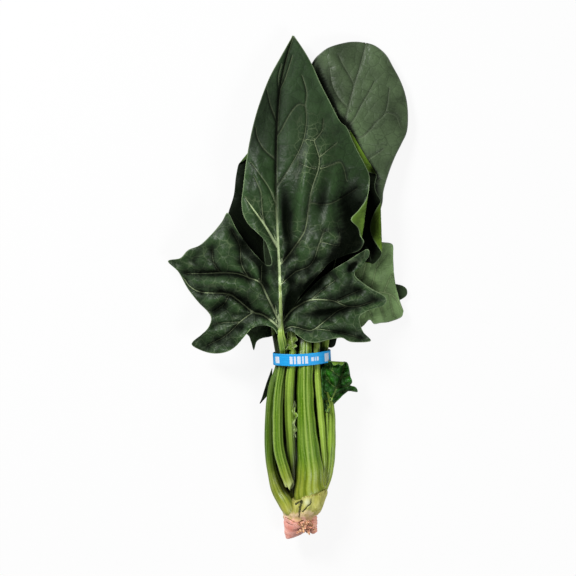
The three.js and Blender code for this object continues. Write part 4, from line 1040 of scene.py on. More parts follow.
# tint is how yellow and pale a stalk is, and points are (x, y, z, width, height) from the foot towards
# the blade.
STALKS = {
    "left_leaf": dict(ribs=10, tint=0.08, points=[
        (5.6, -141.6, 16, 4, 3), (3.6, -139, 18.9, 7, 4), (0.9, -136, 20.4, 9.2, 5.2),
        (-1.8, -131.4, 19.4, 9.6, 6.6), (-6, -124.5, 16.2, 8.4, 7), (-10, -112, 13.6, 6.8, 6.8),
        (-11, -98, 14, 7, 7), (-11, -80, 14.4, 7, 7), (-9, -62, 14.8, 6.6, 7), (-5.5, -49, 15, 5.8, 6.4),
        (-4.8, -43, 15, 5.6, 6.2)]),
    "front_leaf": dict(ribs=11, tint=0.02, torn=True, points=[
        (1.1, -121.5, 22.6, 6.6, 5), (-2.5, -112, 23, 6.6, 6), (-6, -98, 22.6, 6.6, 6.2),
        (-6.6, -80, 22.4, 6.4, 6.2), (-5.6, -62, 22.2, 6.4, 6), (-2.8, -43, 22, 5.8, 5.6)]),
    "middle_leaf": dict(ribs=9, tint=0.8, points=[
        (5, -133, 16.2, 5, 5), (3.4, -124.5, 17.8, 5.4, 5.6), (3.1, -112, 19.4, 5.6, 5.6),
        (2, -98, 21.4, 6, 5.6), (0.9, -80, 23, 6, 5.6), (0.6, -62, 24.4, 5.6, 5.6),
        (2.5, -43, 25.6, 4.8, 5.2), (2.7, -36, 21.8, 4.4, 4.4)]),
    "tall_round_leaf": dict(ribs=14, tint=0.06, slant=0.33, points=[
        (13.6, -127.8, 21.8, 19.6, 9.4), (13.3, -125.4, 22.3, 19.2, 9.2), (13, -122.5, 23, 18.4, 8.8),
        (13.4, -112, 24, 15.8, 8), (12, -98, 25, 13.2, 7.6), (10.8, -80, 26, 10.8, 7.4),
        (10.2, -62, 26.2, 9.8, 7), (10.4, -43, 26.2, 8.8, 6.4)]),
    "folded_right_leaf": dict(ribs=8, tint=1.0, points=[
        (17.6, -131, 17.8, 5, 6), (20.6, -124.5, 18.4, 4.6, 6), (21.9, -112, 19.6, 4.6, 6),
        (21.4, -98, 22, 4.6, 6), (20, -80, 23.6, 4.8, 6), (18.4, -62, 24.2, 4.8, 5.8),
        (17.4, -43, 23.8, 4.6, 5.4)]),
    "pale_right_leaf": dict(ribs=9, tint=1.0, points=[
        (18, -131, 14, 5.6, 5.8), (21, -124.5, 15.4, 5.8, 6.2), (24.6, -112, 17.6, 6.2, 6.4),
        (25.8, -98, 19.8, 6.2, 6.4), (25.8, -80, 20.4, 6.2, 6.2), (24, -62, 20, 6, 6),
        (21.8, -43, 18, 5.4, 5.8)]),
    "lower_left_leaf": dict(ribs=9, points=[
        (0.5, -131, 7.4, 5.6, 5.6), (-3.2, -124.5, 6.2, 6, 5.8), (-6, -112, 5.6, 6.4, 6.2),
        (-7.8, -98, 6.4, 6.8, 6.4), (-7.8, -80, 6.8, 6.8, 6.4), (-6, -62, 7.4, 6.4, 6.2),
        (-2.6, -43, 8.3, 5.8, 5.8)]),
    "under_left_leaf": dict(ribs=10, points=[
        (5, -131, 5.6, 6, 6), (3.6, -124.5, 3.9, 7, 6.4), (2, -112, 3.4, 8.6, 6.2),
        (0.9, -98, 3.3, 9, 6.2), (0.7, -80, 3.4, 9, 6.2), (1.5, -62, 3.9, 7.8, 6.2),
        (3.7, -43, 4.9, 6.6, 6.2)]),
    "bottom_leaf": dict(ribs=10, points=[
        (10, -131, 5.4, 6.4, 6), (10.8, -124.5, 3.9, 7, 6.4), (10.7, -112, 3.3, 8.4, 6.2),
        (10.4, -98, 3.2, 9, 6.2), (10.3, -80, 3.2, 9, 6.2), (10.4, -62, 3.9, 8.4, 6.2),
        (11, -43, 5.3, 7, 5.8), (11, -36, 5.2, 6.4, 5.2)]),
    "lower_right_leaf": dict(ribs=9, points=[
        (15.4, -131, 7.2, 5.8, 5.6), (17.8, -124.5, 5.9, 6, 5.8), (18.4, -112, 4.8, 6.8, 6.2),
        (19.2, -98, 4.8, 7.4, 6.2), (19.2, -80, 5, 7.4, 6.2), (18.6, -62, 5.8, 6.8, 6.2),
        (18, -43, 7.1, 5.8, 5.8)]),
    "right_inner_leaf": dict(ribs=9, points=[
        (9.5, -128, 11.5, 6, 6), (10, -112, 12, 7.4, 6.6), (10.5, -98, 12.8, 8, 6.8),
        (10.6, -80, 13.4, 8.4, 6.8), (11, -62, 14, 8.4, 6.8), (12.4, -43, 14.4, 7, 6.6)]),
    "side_leaf": dict(ribs=6, tint=1.0, points=[
        (21, -129, 14.8, 2.4, 2.4), (22.4, -124.5, 16.4, 2.2, 2.2), (23.5, -112, 18.4, 2.2, 2.2),
        (23.9, -98, 21, 2.2, 2.2), (23.8, -86, 22.6, 2.2, 2.2)]),
    "young_leaf": dict(ribs=6, tint=0.5, points=[
        (4, -127, 10.6, 3, 3), (4.4, -98, 12.4, 3.2, 3.2), (5, -62, 15.4, 3, 3),
        (5.6, -43, 19.2, 2.4, 2.4), (6.2, -39, 22.3, 1.8, 1.8)]),
    "curled_leaf": dict(ribs=5, tint=0.5, points=[
        (7.4, -128, 16.4, 1.6, 1.6), (6.6, -124.5, 17, 1.6, 1.6), (5.2, -112, 19.6, 1.6, 1.6),
        (4.1, -100, 21.8, 1.6, 1.6)]),
    "left_small_leaf": dict(ribs=6, points=[
        (-5, -129, 9.4, 2.2, 2.2), (-8.4, -124.5, 8.3, 2.2, 2.2), (-11.4, -112, 7.8, 2.4, 2.4),
        (-13, -98, 8.2, 2.4, 2.4), (-13, -80, 8.6, 2.2, 2.2)])}


def even_turns(aspect, count):
    """Angles of points spread evenly by length round an ellipse aspect times as wide as it is high."""
    fine = np.linspace(0, 2 * math.pi, 721)
    steps = np.hypot(aspect * np.diff(np.cos(fine)), np.diff(np.sin(fine)))
    run = np.concatenate([[0], np.cumsum(steps)])
    return np.interp(np.linspace(0, run[-1], count + 1)[:-1], run, fine)


def ribbing(round_share, along, ribs, seed):
    """Height of the ridges from 0 to 1. Each ridge is a rounded cushion, 1 - 0.62 * d * d at d half
    spacings from its middle line, times a height of its own, and two neighbours meet in a sharp groove.
    The lines drift slowly along the stalk."""
    draw = np.random.RandomState(seed)
    best = np.zeros(np.broadcast(round_share, along).shape)
    for k in range(ribs):
        middle = (k + draw.uniform(-0.3, 0.3)) / ribs
        drift = 0.014 * np.sin(along / draw.uniform(22, 60) + draw.uniform(0, 6))
        gap = np.abs((round_share - middle - drift + 0.5) % 1 - 0.5) * ribs * 2
        best = np.maximum(best, draw.uniform(0.6, 1.0) * (1 - gap * gap * 0.62))
    return best


OTHER_WAY = [0, 3, 2, 1]  # the corners of a face, taken the other way round


def tube_faces(rows, around):
    """The faces of a closed tube, rows along it and points round it from +X to +Z, with a point at each
    end."""
    j = np.arange(around)
    k = (j + 1) % around
    last = (rows - 1) * around
    start = np.stack([np.full(around, rows * around), j, k], 1)
    end = np.stack([np.full(around, rows * around + 1), last + k, last + j], 1)
    return [side_faces(rows, around)[:, OTHER_WAY], start, end]


def round_angles(count):
    """Angles spread evenly round a circle."""
    return np.linspace(0, 2 * math.pi, count + 1)[:-1]


def round_end(away, radius):
    """0 at an end and 1 from radius away, along a quarter of a circle."""
    return np.sqrt(1 - (1 - np.minimum(away / radius, 1)) ** 2)


def end_means(grid):
    """The means of a grid's first row and its last, for the two points that close a tube."""
    return np.stack([grid[0].mean(0), grid[-1].mean(0)])


def with_ends(grid):
    """The values of a tube's points, and then of the two points that close it."""
    return np.concatenate([grid.ravel(), end_means(grid)])


def tube_points(centres, half_widths, half_heights, turns, relief):
    """Points of a tube: upright ellipses across the path, each point pushed out along its ellipse's
    normal by relief. Returns a grid of rows by points, and the two end points."""
    heading = np.gradient(centres, axis=0)
    side = np.stack([heading[:, 1], -heading[:, 0], np.zeros(len(heading))], 1)
    side /= np.linalg.norm(side, axis=1)[:, None]
    up = np.cross(side, heading / np.linalg.norm(heading, axis=1)[:, None])
    a, b = np.maximum(half_widths, 0.02)[:, None], np.maximum(half_heights, 0.02)[:, None]
    normal = np.stack([np.cos(turns) / a, np.sin(turns) / b], -1)
    normal /= np.linalg.norm(normal, axis=2)[..., None]
    across = a * np.cos(turns) + relief * normal[..., 0]
    rise = b * np.sin(turns) + relief * normal[..., 1]
    grid = centres[:, None] + side[:, None] * across[..., None] + up[:, None] * rise[..., None]
    return grid, end_means(grid)


STALK_GREEN, STALK_LIGHT, STALK_WHITE = (0.085, 0.18, 0.003), (0.27, 0.42, 0.045), (0.38, 0.48, 0.22)
STALK_BLOTCH, STALK_BREAK = (0.07, 0.17, 0.007), (0.48, 0.56, 0.2)
STALK_LOW, STALK_HIGH = (0.36, 0.39, 0.035), (0.22, 0.32, 0.09)
RIDGE_PALE_AND_HIGHLIGHT, GROOVE_DARK_AND_SHADE = (0.46, 0.59, 0.15), (0.58, 0.66, 0.35)
FOOT_YELLOW, FOOT_CREAM = (0.42, 0.42, 0.06), (0.6, 0.6, 0.16)


def stalk_skin():
    """The finish of every stalk: moist green, paler on the ridges and deep green in the grooves, partly
    the stalk's own stripes and partly a painted highlight on the crests and painted shade in the grooves,
    yellower and paler at the foot, with fine fibres along it and a torn, whitish break where the stalk
    has snapped. Painted shade darkens it deep in the bunch."""
    paint, tree, skin = new_finish("stalk_skin", 0.34)
    plan = plan_place(tree)
    fibre = noise(tree, drawn_out(tree, plan, (60.0, 2.2, 1.0)), 2.0, 3.0)
    slow = noise(tree, plan, 9.0, 3.0)
    grain = noise(tree, plan, 90.0, 3.0)
    tone, ridge, torn, tint = [stored(tree, key) for key in ("tone", "ridge", "torn", "tint")]
    body = lay_over(tree, blend(tree, tint, STALK_GREEN, STALK_LIGHT),
                    (tint, STALK_WHITE, 1.2, 2.2), (slow, STALK_BLOTCH, 0.35, 0.75, 0.0, 0.4),
                    (tone, STALK_LOW, 0.0, 0.22, 0.65, 0.0), (tone, STALK_HIGH, 0.7, 1.0, 0.0, 0.4))
    # Darker grooves and paler crests: the stalk's own stripes, with painted shade in the grooves and a
    # painted highlight on the crests.
    deep = blend(tree, 1.0, body, GROOVE_DARK_AND_SHADE, "MULTIPLY")
    crest = blend(tree, 0.5, body, RIDGE_PALE_AND_HIGHLIGHT)
    colour = lay_over(tree, deep, (ridge, body, 0.35, 0.62), (ridge, crest, 0.7, 1.0, 0.0, 0.8),
                      (fibre, crest, 0.42, 0.66, 0.0, 0.3), (grain, deep, 0.56, 0.72, 0.0, 0.45),
                      (grain, crest, 0.3, 0.42, 0.4, 0.0))
    colour = blend(tree, torn, colour, STALK_BREAK)
    foot = blend(tree, ramp(tree, fibre, 0.35, 0.7), FOOT_YELLOW, FOOT_CREAM)
    colour = blend(tree, ramp(tree, tone, -0.15, -0.05, 0.95, 0.0), colour, foot)
    feed_skin(tree, skin, in_shade(tree, colour), ramp(tree, fibre, 0.3, 0.7, 0.28, 0.42),
              add_up(tree, fibre, times(tree, grain, 0.3)), 0.5, 0.0003)
    return paint


stalk_paint = stalk_skin()
# (mm along the blade, share of the midrib's size left there).
MIDRIB_SHARES = [(5, 0.62), (12, 0.45), (24, 0.32), (44, 0.2)]
MIDRIB_WIDTH, MIDRIB_HEIGHT = 4.4, 3.4  # of a large leaf, where its blade begins
ROW_STEP = 1.8
TONE_START, TONE_RUN = -124, 100  # tone is 0 at that Y, near the foot, and 1 that far above it
BAND_TOP = -34  # above it the front leaf's own midrib shows, and turns pale


def stalk_stations(leaf_name, points, large, shown):
    """The points of a stalk's path, and after them those of the midrib that it becomes: it runs on under
    its blade and thins to nothing. The front leaf's midrib is shown: it stands a little proud of the
    upper side instead."""
    spine = spines[leaf_name]
    run = run_length(spine)
    base_width, base_height = points[-1][3] * 0.8, points[-1][4] * 0.8
    if large:
        base_width, base_height = MIDRIB_WIDTH, MIDRIB_HEIGHT
    rise = 0.2 if shown else -1.1 * (1 if large else 0.4)
    stations = [list(p) for p in points] + [[*(spine[0] + (0, 0, rise)), base_width, base_height]]
    for reach, share in MIDRIB_SHARES if large else []:
        x, y, z = [np.interp(reach, run, spine[:, axis]) for axis in range(3)]
        width, height = base_width * share, base_height * share
        if shown:
            width, height = width * 1.2, height * 0.75
        stations.append([x, y, z + rise * (1 - reach / 60), width, height])
    return stations


def stalk(leaf_name, points, ribs, seed, tint=0.1, torn=False, slant=0.0):
    """Builds one stalk: a ribbed tube along its stations, rounded off at both ends. The foot may end on a
    slant, and a torn one ends raggedly."""
    large = leaf_name in LEAVES or leaf_name == "front_leaf"
    shown = leaf_name == "front_leaf"
    stations = stalk_stations(leaf_name, points, large, shown)
    fine = smooth_path(stations, np.linspace(0, len(stations) - 1, 400))
    length = run_length(fine[:, :3])
    edge = np.array([0, 0.08, 0.3, 0.7, 1.2])
    between_ends = np.linspace(ROW_STEP, length[-1] - ROW_STEP, int(length[-1] / ROW_STEP))
    rows = np.concatenate([edge, between_ends, length[-1] - edge[::-1]])
    path = np.stack([np.interp(rows, length, fine[:, axis]) for axis in range(5)], 1)
    path[:, 2] = np.maximum(path[:, 2], path[:, 4] * 0.55 + 0.2)
    from_foot, from_tip = rows, length[-1] - rows
    round_off = round_end(np.minimum(from_foot, from_tip), 1.6)
    sides = 96 if ribs > 10 else 64 if large else 32
    turns = even_turns(path[:, 3].mean() / path[:, 4].mean(), sides)
    share = np.arange(sides)[None, :] / sides
    ridge = ribbing(share, rows[:, None], ribs, seed)
    size = np.minimum(path[:, 3], path[:, 4])
    depth = (0.1 - 0.03 * (ribs > 12)) * size * (0.5 + 0.5 * ease(from_foot / 14))
    swelling = swell(share * 0 + rows[:, None], share * 12 + rows[:, None] * 0, 16, seed)
    uneven = 0.04 * size[:, None] * swelling
    relief = (depth[:, None] * (ridge - 0.6) + uneven) * round_off[:, None]
    half_width, half_height = path[:, 3] / 2 * round_off, path[:, 4] / 2 * round_off
    grid, ends = tube_points(path[:, :3], half_width, half_height, turns, relief)
    grid[..., 1] += slant * (grid[..., 0] - path[0, 0]) * np.exp(-from_foot / 9)[:, None]
    broken = np.zeros_like(ridge)
    if torn:
        ragged = swell(np.cos(turns) * 9, np.sin(turns) * 9, 8, seed + 7)[None, :]
        grid[..., 1] += 2.4 * ragged * np.exp(-from_foot / 3)[:, None]
        broken += np.exp(-((from_foot / 3.2) ** 2))[:, None]
    pale = tint * np.ones_like(ridge)
    if shown:
        pale += 2.2 * ease((rows - np.interp(BAND_TOP, path[:, 1], rows)) / 14)[:, None]
    around = 2 * math.pi * np.sqrt(path[:, 3] * path[:, 4])[:, None] / 2 * share
    uv = np.stack([with_ends(around), with_ends(rows[:, None] + around * 0)], 1) / PLAN_UNIT
    marks = {"ridge": ridge, "tone": (grid[..., 1] - TONE_START) / TONE_RUN, "torn": broken, "tint": pale}
    name = leaf_name.replace("_leaf", "_stem")
    piece = add_mesh(name, np.concatenate([grid.reshape(-1, 3), ends]), tube_faces(len(rows), sides),
                     {key: with_ends(values) for key, values in marks.items()}, uv)
    piece.data.materials.append(stalk_paint)
    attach(piece, "root")
    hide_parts(name)


for seed, (leaf_name, growth) in enumerate(STALKS.items(), 51):
    stalk(leaf_name, seed=seed, **growth)

# ---- Root crown ----------------------------------------------------
# The short fleshy crown that joins the stalks, and the stub of the root below it. The crown is pale
# yellow green, folded where stalk bases meet, and split in places. The root is pink, with a slanting
# cut, rags of brown skin at its right, and the stump of a second, thinner root.

# Rings [y, centre x, centre z, half width, half height], from the cut up.
CROWN_RINGS = [(-154.8, 3.4, 13.4, 0.5, 0.6), (-154.4, 3.6, 13.4, 4.2, 3.8), (-153, 4.6, 13.4, 6.4, 5.6),
               (-150.5, 6, 13.5, 8.4, 7.4), (-147, 6.7, 13.7, 9.5, 8.8), (-144, 6.7, 13.9, 9.7, 9.4),
               (-141.6, 6.9, 14, 9.9, 9.8), (-139.6, 7.6, 14, 10.8, 10.8), (-137, 8.4, 14.1, 12, 11.8),
               (-134, 8.7, 14.2, 13.1, 12.4), (-130, 9, 14.4, 14, 12.4), (-126.5, 9.6, 14.5, 14.6, 12),
               (-124, 9.6, 14.5, 14, 11), (-122.6, 9, 14.5, 11, 9)]
# Hollows of its front, as the leaf's folds are given: the bed of the left stalk, the gap beside it, and
# dents.
CROWN_HOLLOWS = [(-1.4, -131.2, 9.5, 4.2, -36, -3.6), (2.4, -125, 5.5, 4, 0, -8),
                 (11.5, -132, 3, 2.4, 0, 0.7), (7.4, -133.5, 3.5, 1.5, 12, -1.2),
                 (2.5, -150.5, 4, 5, 0, -0.8), (8, -144, 2, 4, 70, -0.6)]
# Splits, as the leaf's veins are given, and the line where the sheath above the crown was cut.
CROWN_SPLITS = [([(8.3, -131), (7.3, -134.4), (6.8, -136.9), (6.5, -141)], 0.75, 0.35),
                ([(8.3, -131), (6.4, -131.8), (4.7, -132.8)], 0.4, 0.6),
                ([(14, -129.6), (14.3, -131.9), (12.5, -133.9), (10.5, -134.9), (9.8, -136.8),
                  (8.8, -137.6)], 0.32, 0.4),
                ([(6.6, -144.4), (7.8, -143.6), (9.6, -143)], 0.35, 0.25),
                ([(-1.5, -144.2), (1.5, -145.8), (5.5, -146.6)], 0.18, 0.14),
                ([(-1.8, -141.4), (1, -142.6), (3.4, -144.2)], 0.2, 0.16),
                ([(14, -150.6), (14.4, -148.4), (16, -145.4)], 0.7, 0.5)]
CROWN_CUT = [(7.5, -129.3), (9.5, -128.5), (11.5, -128.1), (14.6, -127.7), (17.6, -127), (19.6, -127.1),
             (21.6, -126.4), (23.9, -123.8)]

CROWN_GREEN, CROWN_YELLOW, CROWN_SHADED = (0.4, 0.39, 0.06), (0.6, 0.58, 0.17), (0.28, 0.33, 0.03)
CROWN_BARE, CUT_BROWN = (0.62, 0.66, 0.44), (0.16, 0.1, 0.012)
ROOT_CREAMS = (0.68, 0.46, 0.2), (0.8, 0.62, 0.36)
ROOT_PINK, ROOT_ROSE, ROOT_TAN = (0.9, 0.33, 0.25), (1.0, 0.52, 0.44), (0.82, 0.48, 0.32)
RAG_BROWNS = (0.4, 0.15, 0.04), (0.84, 0.56, 0.33)
SPLIT_SHADES = (0.03, 0.035, 0.004), (0.2, 0.045, 0.01)


def crown_skin(name):
    """Pale flesh that turns from yellow green to pink down the root, with splits painted dark as shade, a
    dotted brown line where the sheath above was cut, and torn brown rags. Painted shade darkens it deep
    in the bunch."""
    paint, tree, skin = new_finish(name, 0.35)
    place = shade(tree, "ShaderNodeTexCoord").outputs["Object"]
    streak = noise(tree, drawn_out(tree, place, (900.0, 130.0, 900.0)), 1.0, 3.0)
    blotch = noise(tree, place, 260.0, 5.0)
    grain = noise(tree, place, 1100.0, 4.0)
    down = add_up(tree, stored(tree, "down"), ramp(tree, blotch, 0.3, 0.7, -0.07, 0.07))
    green = lay_over(tree, CROWN_GREEN, (streak, CROWN_YELLOW, 0.35, 0.7),
                     (blotch, CROWN_SHADED, 0.5, 0.75, 0.0, 0.5))
    green = blend(tree, times(tree, stored(tree, "bare"), 0.75), green, CROWN_BARE)
    cream = blend(tree, ramp(tree, blotch, 0.35, 0.65), *ROOT_CREAMS)
    pink = lay_over(tree, ROOT_PINK, (blotch, ROOT_ROSE, 0.3, 0.7),
                    (streak, ROOT_TAN, 0.5, 0.8, 0.0, 0.4))
    colour = lay_over(tree, green, (down, cream, 0.33, 0.47), (down, pink, 0.5, 0.62))
    rag = times(tree, stored(tree, "rag"), ramp(tree, blotch, 0.3, 0.5, 0.4, 1.0))
    brown = blend(tree, ramp(tree, grain, 0.36, 0.58), *RAG_BROWNS)
    colour = blend(tree, rag, colour, brown)
    dots = times(tree, ramp(tree, stored(tree, "cut_far"), 0.15, 0.7, 1.0, 0.0),
                 ramp(tree, grain, 0.46, 0.56, 0.15, 1.0))
    colour = blend(tree, times(tree, dots, 0.85), colour, CUT_BROWN)
    # Painted shade inside the splits: near black in the green crown, dark red brown on the root.
    far, size = stored(tree, "split_far"), stored(tree, "split_size")
    frayed = add_up(tree, maths(tree, "DIVIDE", far, size), ramp(tree, grain, 0.35, 0.65, -0.45, 0.45))
    split = ramp(tree, frayed, 0.6, 1.5, 1.0, 0.0)
    dark = blend(tree, ramp(tree, down, 0.4, 0.6), *SPLIT_SHADES)
    colour = blend(tree, times(tree, split, 0.92), colour, dark)
    colour = in_shade(tree, colour, 0.45)
    rough = ramp(tree, grain, 0.3, 0.7, 0.42, 0.62)
    height = add_up(tree, times(tree, streak, 0.5), times(tree, grain, 0.35), blotch)
    feed_skin(tree, skin, colour, rough, height, 0.6, 0.0006)
    return paint


def signed_power(value, power):
    """A power of the value's size, with the value's own sign."""
    return np.sign(value) * np.abs(value) ** power


FAR_MARK = 30.0  # mm to a split or a cut that isn't there
ROOT_TOP, ROOT_RUN = -128, 26  # the mark "down" is 0 at that Y, in the crown, and 1 that far below it


def crown_grid(rows, sides):
    """The crown and root as rings of points: circles at the root, squarer near the stalks, the curve of
    exponent p whose points keep |x|^p + |z|^p. The front drops away above the cut line, where the
    stalks' feet stand in it. It is pushed in at the splits, and the root's end is cut on a slant.
    Returns the points and the marks that the finish reads."""
    fine = smooth_path(CROWN_RINGS, np.linspace(0, len(CROWN_RINGS) - 1, rows))
    turns = round_angles(sides)[None, :]
    y = fine[:, :1] + 0 * turns
    power = 2 / (2 + 0.9 * ease((y + 142) / 10))
    x = fine[:, 1:2] + fine[:, 3:4] * signed_power(np.cos(turns), power)
    z = fine[:, 2:3] + fine[:, 4:5] * signed_power(np.sin(turns), power)
    front = ease(np.sin(turns) * 3) + 0 * y
    far, size = vein_fields(x, y, CROWN_SPLITS)[1:]
    far = np.where(front > 0.5, far, FAR_MARK)
    cut_far = np.where(front > 0.5, vein_fields(x, y, [(CROWN_CUT, 0.2, 0.2)])[1], FAR_MARK)
    above = ease((y + 141) / 3)
    rag = bell(x, y, 11.5, -146, 4.5, 3.6) * front
    folded = 0.4 * (ribbing(turns / (2 * math.pi), y, 17, 71) - 0.5)
    push = above * (folded + 0.35 * swell(x * 1.6, y * 0.7, 9, 72))
    push += (1 - above) * (0.4 * swell(x * 0.5, y * 1.7 + x * 0.3, 6, 73) + 0.2 * swell(x, y, 3, 74))
    push *= 1 - 0.7 * bell(x, y, 3.5, -151, 6, 3.5)
    push += rag * 0.7 * swell(x, y, 2.6, 75)
    push -= np.minimum(1.6, 2.4 * size) * np.exp(-((far / (size * 1.15)) ** 2))
    push *= ease((y + 155) / 2.5) * ease((-121.8 - y) / 2)
    edge = np.where(x > 6, -129.5 + 0.33 * (x - 6), -129.7)
    drop = 9 * ease((y - edge) / 2.4) * ease((y + 131) / 1.5)
    x = x + push * np.cos(turns)
    z = z + push * np.sin(turns) + front * (folds(x, y, CROWN_HOLLOWS) - drop)
    y = y + ease((-143 - y) / 9) * np.minimum(0.34 * (x - 1.2), 2.6)
    bare = bell(x, y, 11.6, -131.6, 2, 2.2) * front
    marks = {"down": (ROOT_TOP - y) / ROOT_RUN, "rag": rag, "split_far": far, "split_size": size,
             "cut_far": cut_far, "bare": bare}
    return np.stack([x, y, z], -1), marks


def second_root(rows, sides):
    """The stump of a thin side root: a tube of ovals that narrows from the crown to its torn end."""
    stations = [(13, -138.5, 15.6), (14.4, -142.6, 15.8), (14.9, -147, 15), (15.8, -151.6, 13.6)]
    path = smooth_path(stations, np.linspace(0, len(stations) - 1, rows))
    share = np.linspace(0, 1, rows)
    width = np.interp(share, [0, 0.3, 0.6, 0.85, 1], [3.4, 3.3, 3.1, 2.3, 1.9])
    width *= round_end(1 - share, 0.1)
    turns = round_angles(sides)
    round_it, down_it = np.cos(turns)[None, :] * 2 + path[:, :1], path[:, 1:2] * 2 + 0 * turns
    wrinkles = 0.3 * swell(round_it, down_it, 3.4, 76)
    return tube_points(path, width, width * 1.1, turns, wrinkles * np.minimum(width, 1)[:, None])


def rag_shell(x, y, z, length, width, heading, curl, thickness=0.22):
    """One flake of torn brown skin: a thin closed strip, bent round its long axis and lifted at its
    end."""
    u, v = np.meshgrid(np.linspace(0, 1, 9), np.linspace(-1, 1, 6), indexing="ij")
    half = width / 2 * (1 - 0.65 * u**2) * (1 + 0.25 * np.sin(9 * u + heading))
    along, across = length * u, v * half
    up = curl * u**2 + 0.5 * width * (1 - np.cos(v * 1.1)) + 0.12 * np.sin(7 * u + 3 * v)
    c, s = math.cos(math.radians(heading)), math.sin(math.radians(heading))
    skin = np.stack([x + along * c - across * s, y + along * s + across * c, z + up], -1)
    points = np.concatenate([skin, skin[:, ::-1] - (0, 0, thickness)], axis=1)
    sides, first, last = sheet_faces(*points.shape[:2], skin.shape[1])
    return points.reshape(-1, 3), [sides[:, ::-1], first[:, OTHER_WAY], last[:, OTHER_WAY]]


CROWN_ROWS, CROWN_SIDES, STUMP_ROWS, STUMP_SIDES, FLAKES = 170, 170, 40, 32, 16
STUMP_RAG, FLAKE_RAG = 0.25, 1.0  # how far each has the finish of the brown rags
ROOT_X, ROOT_Z, ROOT_HALF_WIDTH, ROOT_HALF_HEIGHT = 5.8, 13.8, 9.6, 8.6  # the oval that flakes lie on
PLAIN_MARKS = {"down": 0.9, "rag": 0.0, "split_far": FAR_MARK, "split_size": 0.2, "cut_far": FAR_MARK,
               "bare": 0.0}

crown_points, crown_marks = crown_grid(CROWN_ROWS, CROWN_SIDES)
crown_parts = [np.concatenate([crown_points.reshape(-1, 3), end_means(crown_points)])]
crown_faces = tube_faces(CROWN_ROWS, CROWN_SIDES)
crown_marks = {key: with_ends(values) for key, values in crown_marks.items()}
stump_grid, stump_ends = second_root(STUMP_ROWS, STUMP_SIDES)
extra = [(np.concatenate([stump_grid.reshape(-1, 3), stump_ends]),
          tube_faces(STUMP_ROWS, STUMP_SIDES), STUMP_RAG)]
flake_draw = np.random.RandomState(77)
for k in range(FLAKES):
    flake_x, flake_y = flake_draw.uniform(8, 14.6), flake_draw.uniform(-149.4, -142.6)
    round_share = (flake_x - ROOT_X) / ROOT_HALF_WIDTH
    flake_z = ROOT_Z + ROOT_HALF_HEIGHT * math.sqrt(max(0.05, 1 - round_share**2))
    length, width = flake_draw.uniform(2.2, 4.2), flake_draw.uniform(1.2, 2.4)
    heading, curl = flake_draw.uniform(-160, 20), flake_draw.uniform(0.4, 1.8)
    extra.append((*rag_shell(flake_x, flake_y, flake_z, length, width, heading, curl), FLAKE_RAG))
for part, faces, rag in extra:
    start = sum(len(points) for points in crown_parts)
    crown_parts.append(part)
    crown_faces += [block + start for block in faces]
    for key, plain in PLAIN_MARKS.items():
        value = rag if key == "rag" else plain
        crown_marks[key] = np.concatenate([crown_marks[key], np.full(len(part), value)])
crown = add_mesh("root_crown", np.concatenate(crown_parts), crown_faces, crown_marks)
crown.data.materials.append(crown_skin("crown_flesh"))
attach(crown, "root")
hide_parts("root_crown")

# ---- Elastic band --------------------------------------------------
# The blue produce band round the stalks: a flat rubber loop, stretched, so that its edges curl a
# little. It is printed with plain white blocks and bars.

BAND_X, BAND_Y, BAND_Z = 8.3, -42.5, 16.0
BAND_HALF_WIDTH, BAND_HALF_HEIGHT = 17.9, 15.5
BAND_WIDTH, BAND_THICKNESS = 7.4, 1.0
BAND_LEAN, BAND_TURN = math.radians(5), math.radians(3)
# White marks [start, end, low, high] in mm: round the band from the middle of its front, and across it.
BAND_MARKS = [(-18.4, -14.6, -2.2, 1.8), (14.6, 18.6, -2.6, 2.4), (-7.6, -5.8, -2.4, 2.2),
              (-5, -3.8, -2.4, 2.2), (-3, -0.8, -2.4, 2.2), (0, 1, -2.4, 2.2), (1.8, 3.6, -2.4, 2.2),
              (5.6, 7.2, -1.2, 1.2), (7.8, 8.4, -1.2, 1.2), (9, 10.2, -1.2, 1.2)]

BAND_BLUE, BAND_PALE_BLUE, BAND_INK = (0.003, 0.31, 0.74), (0.005, 0.42, 0.9), (0.72, 0.78, 0.88)
INK_SOFTNESS = 0.12  # mm by which the edge of a white mark is soft, to each side


def band_skin():
    """Matt blue rubber with fine stretch lines along it, and white ink that is thin in places."""
    paint, tree, skin = new_finish("band_rubber", 0.5)
    plan = plan_place(tree)
    parts = shade(tree, "ShaderNodeSeparateXYZ", {"Vector": plan}).outputs
    lines = noise(tree, drawn_out(tree, plan, (6.0, 90.0, 1.0)), 2.0, 3.0)
    grain = noise(tree, plan, 160.0, 3.0)
    soft = INK_SOFTNESS / PLAN_UNIT
    marks = None
    for start, end, low, high in BAND_MARKS:
        inside = []
        for value, first, last in ((parts["X"], start, end), (parts["Y"], low, high)):
            middle, half = (first + last) / 2 / PLAN_UNIT, (last - first) / 2 / PLAN_UNIT
            off = maths(tree, "ABSOLUTE", maths(tree, "SUBTRACT", value, middle))
            inside.append(ramp(tree, off, half - soft, half + soft, 1.0, 0.0))
        mark = times(tree, *inside)
        marks = mark if marks is None else maths(tree, "MAXIMUM", marks, mark)
    ink = times(tree, marks, ramp(tree, grain, 0.3, 0.45, 0.78, 0.96))
    blue = blend(tree, ramp(tree, lines, 0.35, 0.7), BAND_BLUE, BAND_PALE_BLUE)
    colour = blend(tree, ink, blue, BAND_INK)
    feed_skin(tree, skin, colour, ramp(tree, grain, 0.3, 0.7, 0.45, 0.6), lines, 0.35, 0.0003)
    return paint


def turned(first, second, angle):
    """Two coordinates, turned by an angle from the first towards the second."""
    c, s = math.cos(angle), math.sin(angle)
    return first * c - second * s, first * s + second * c


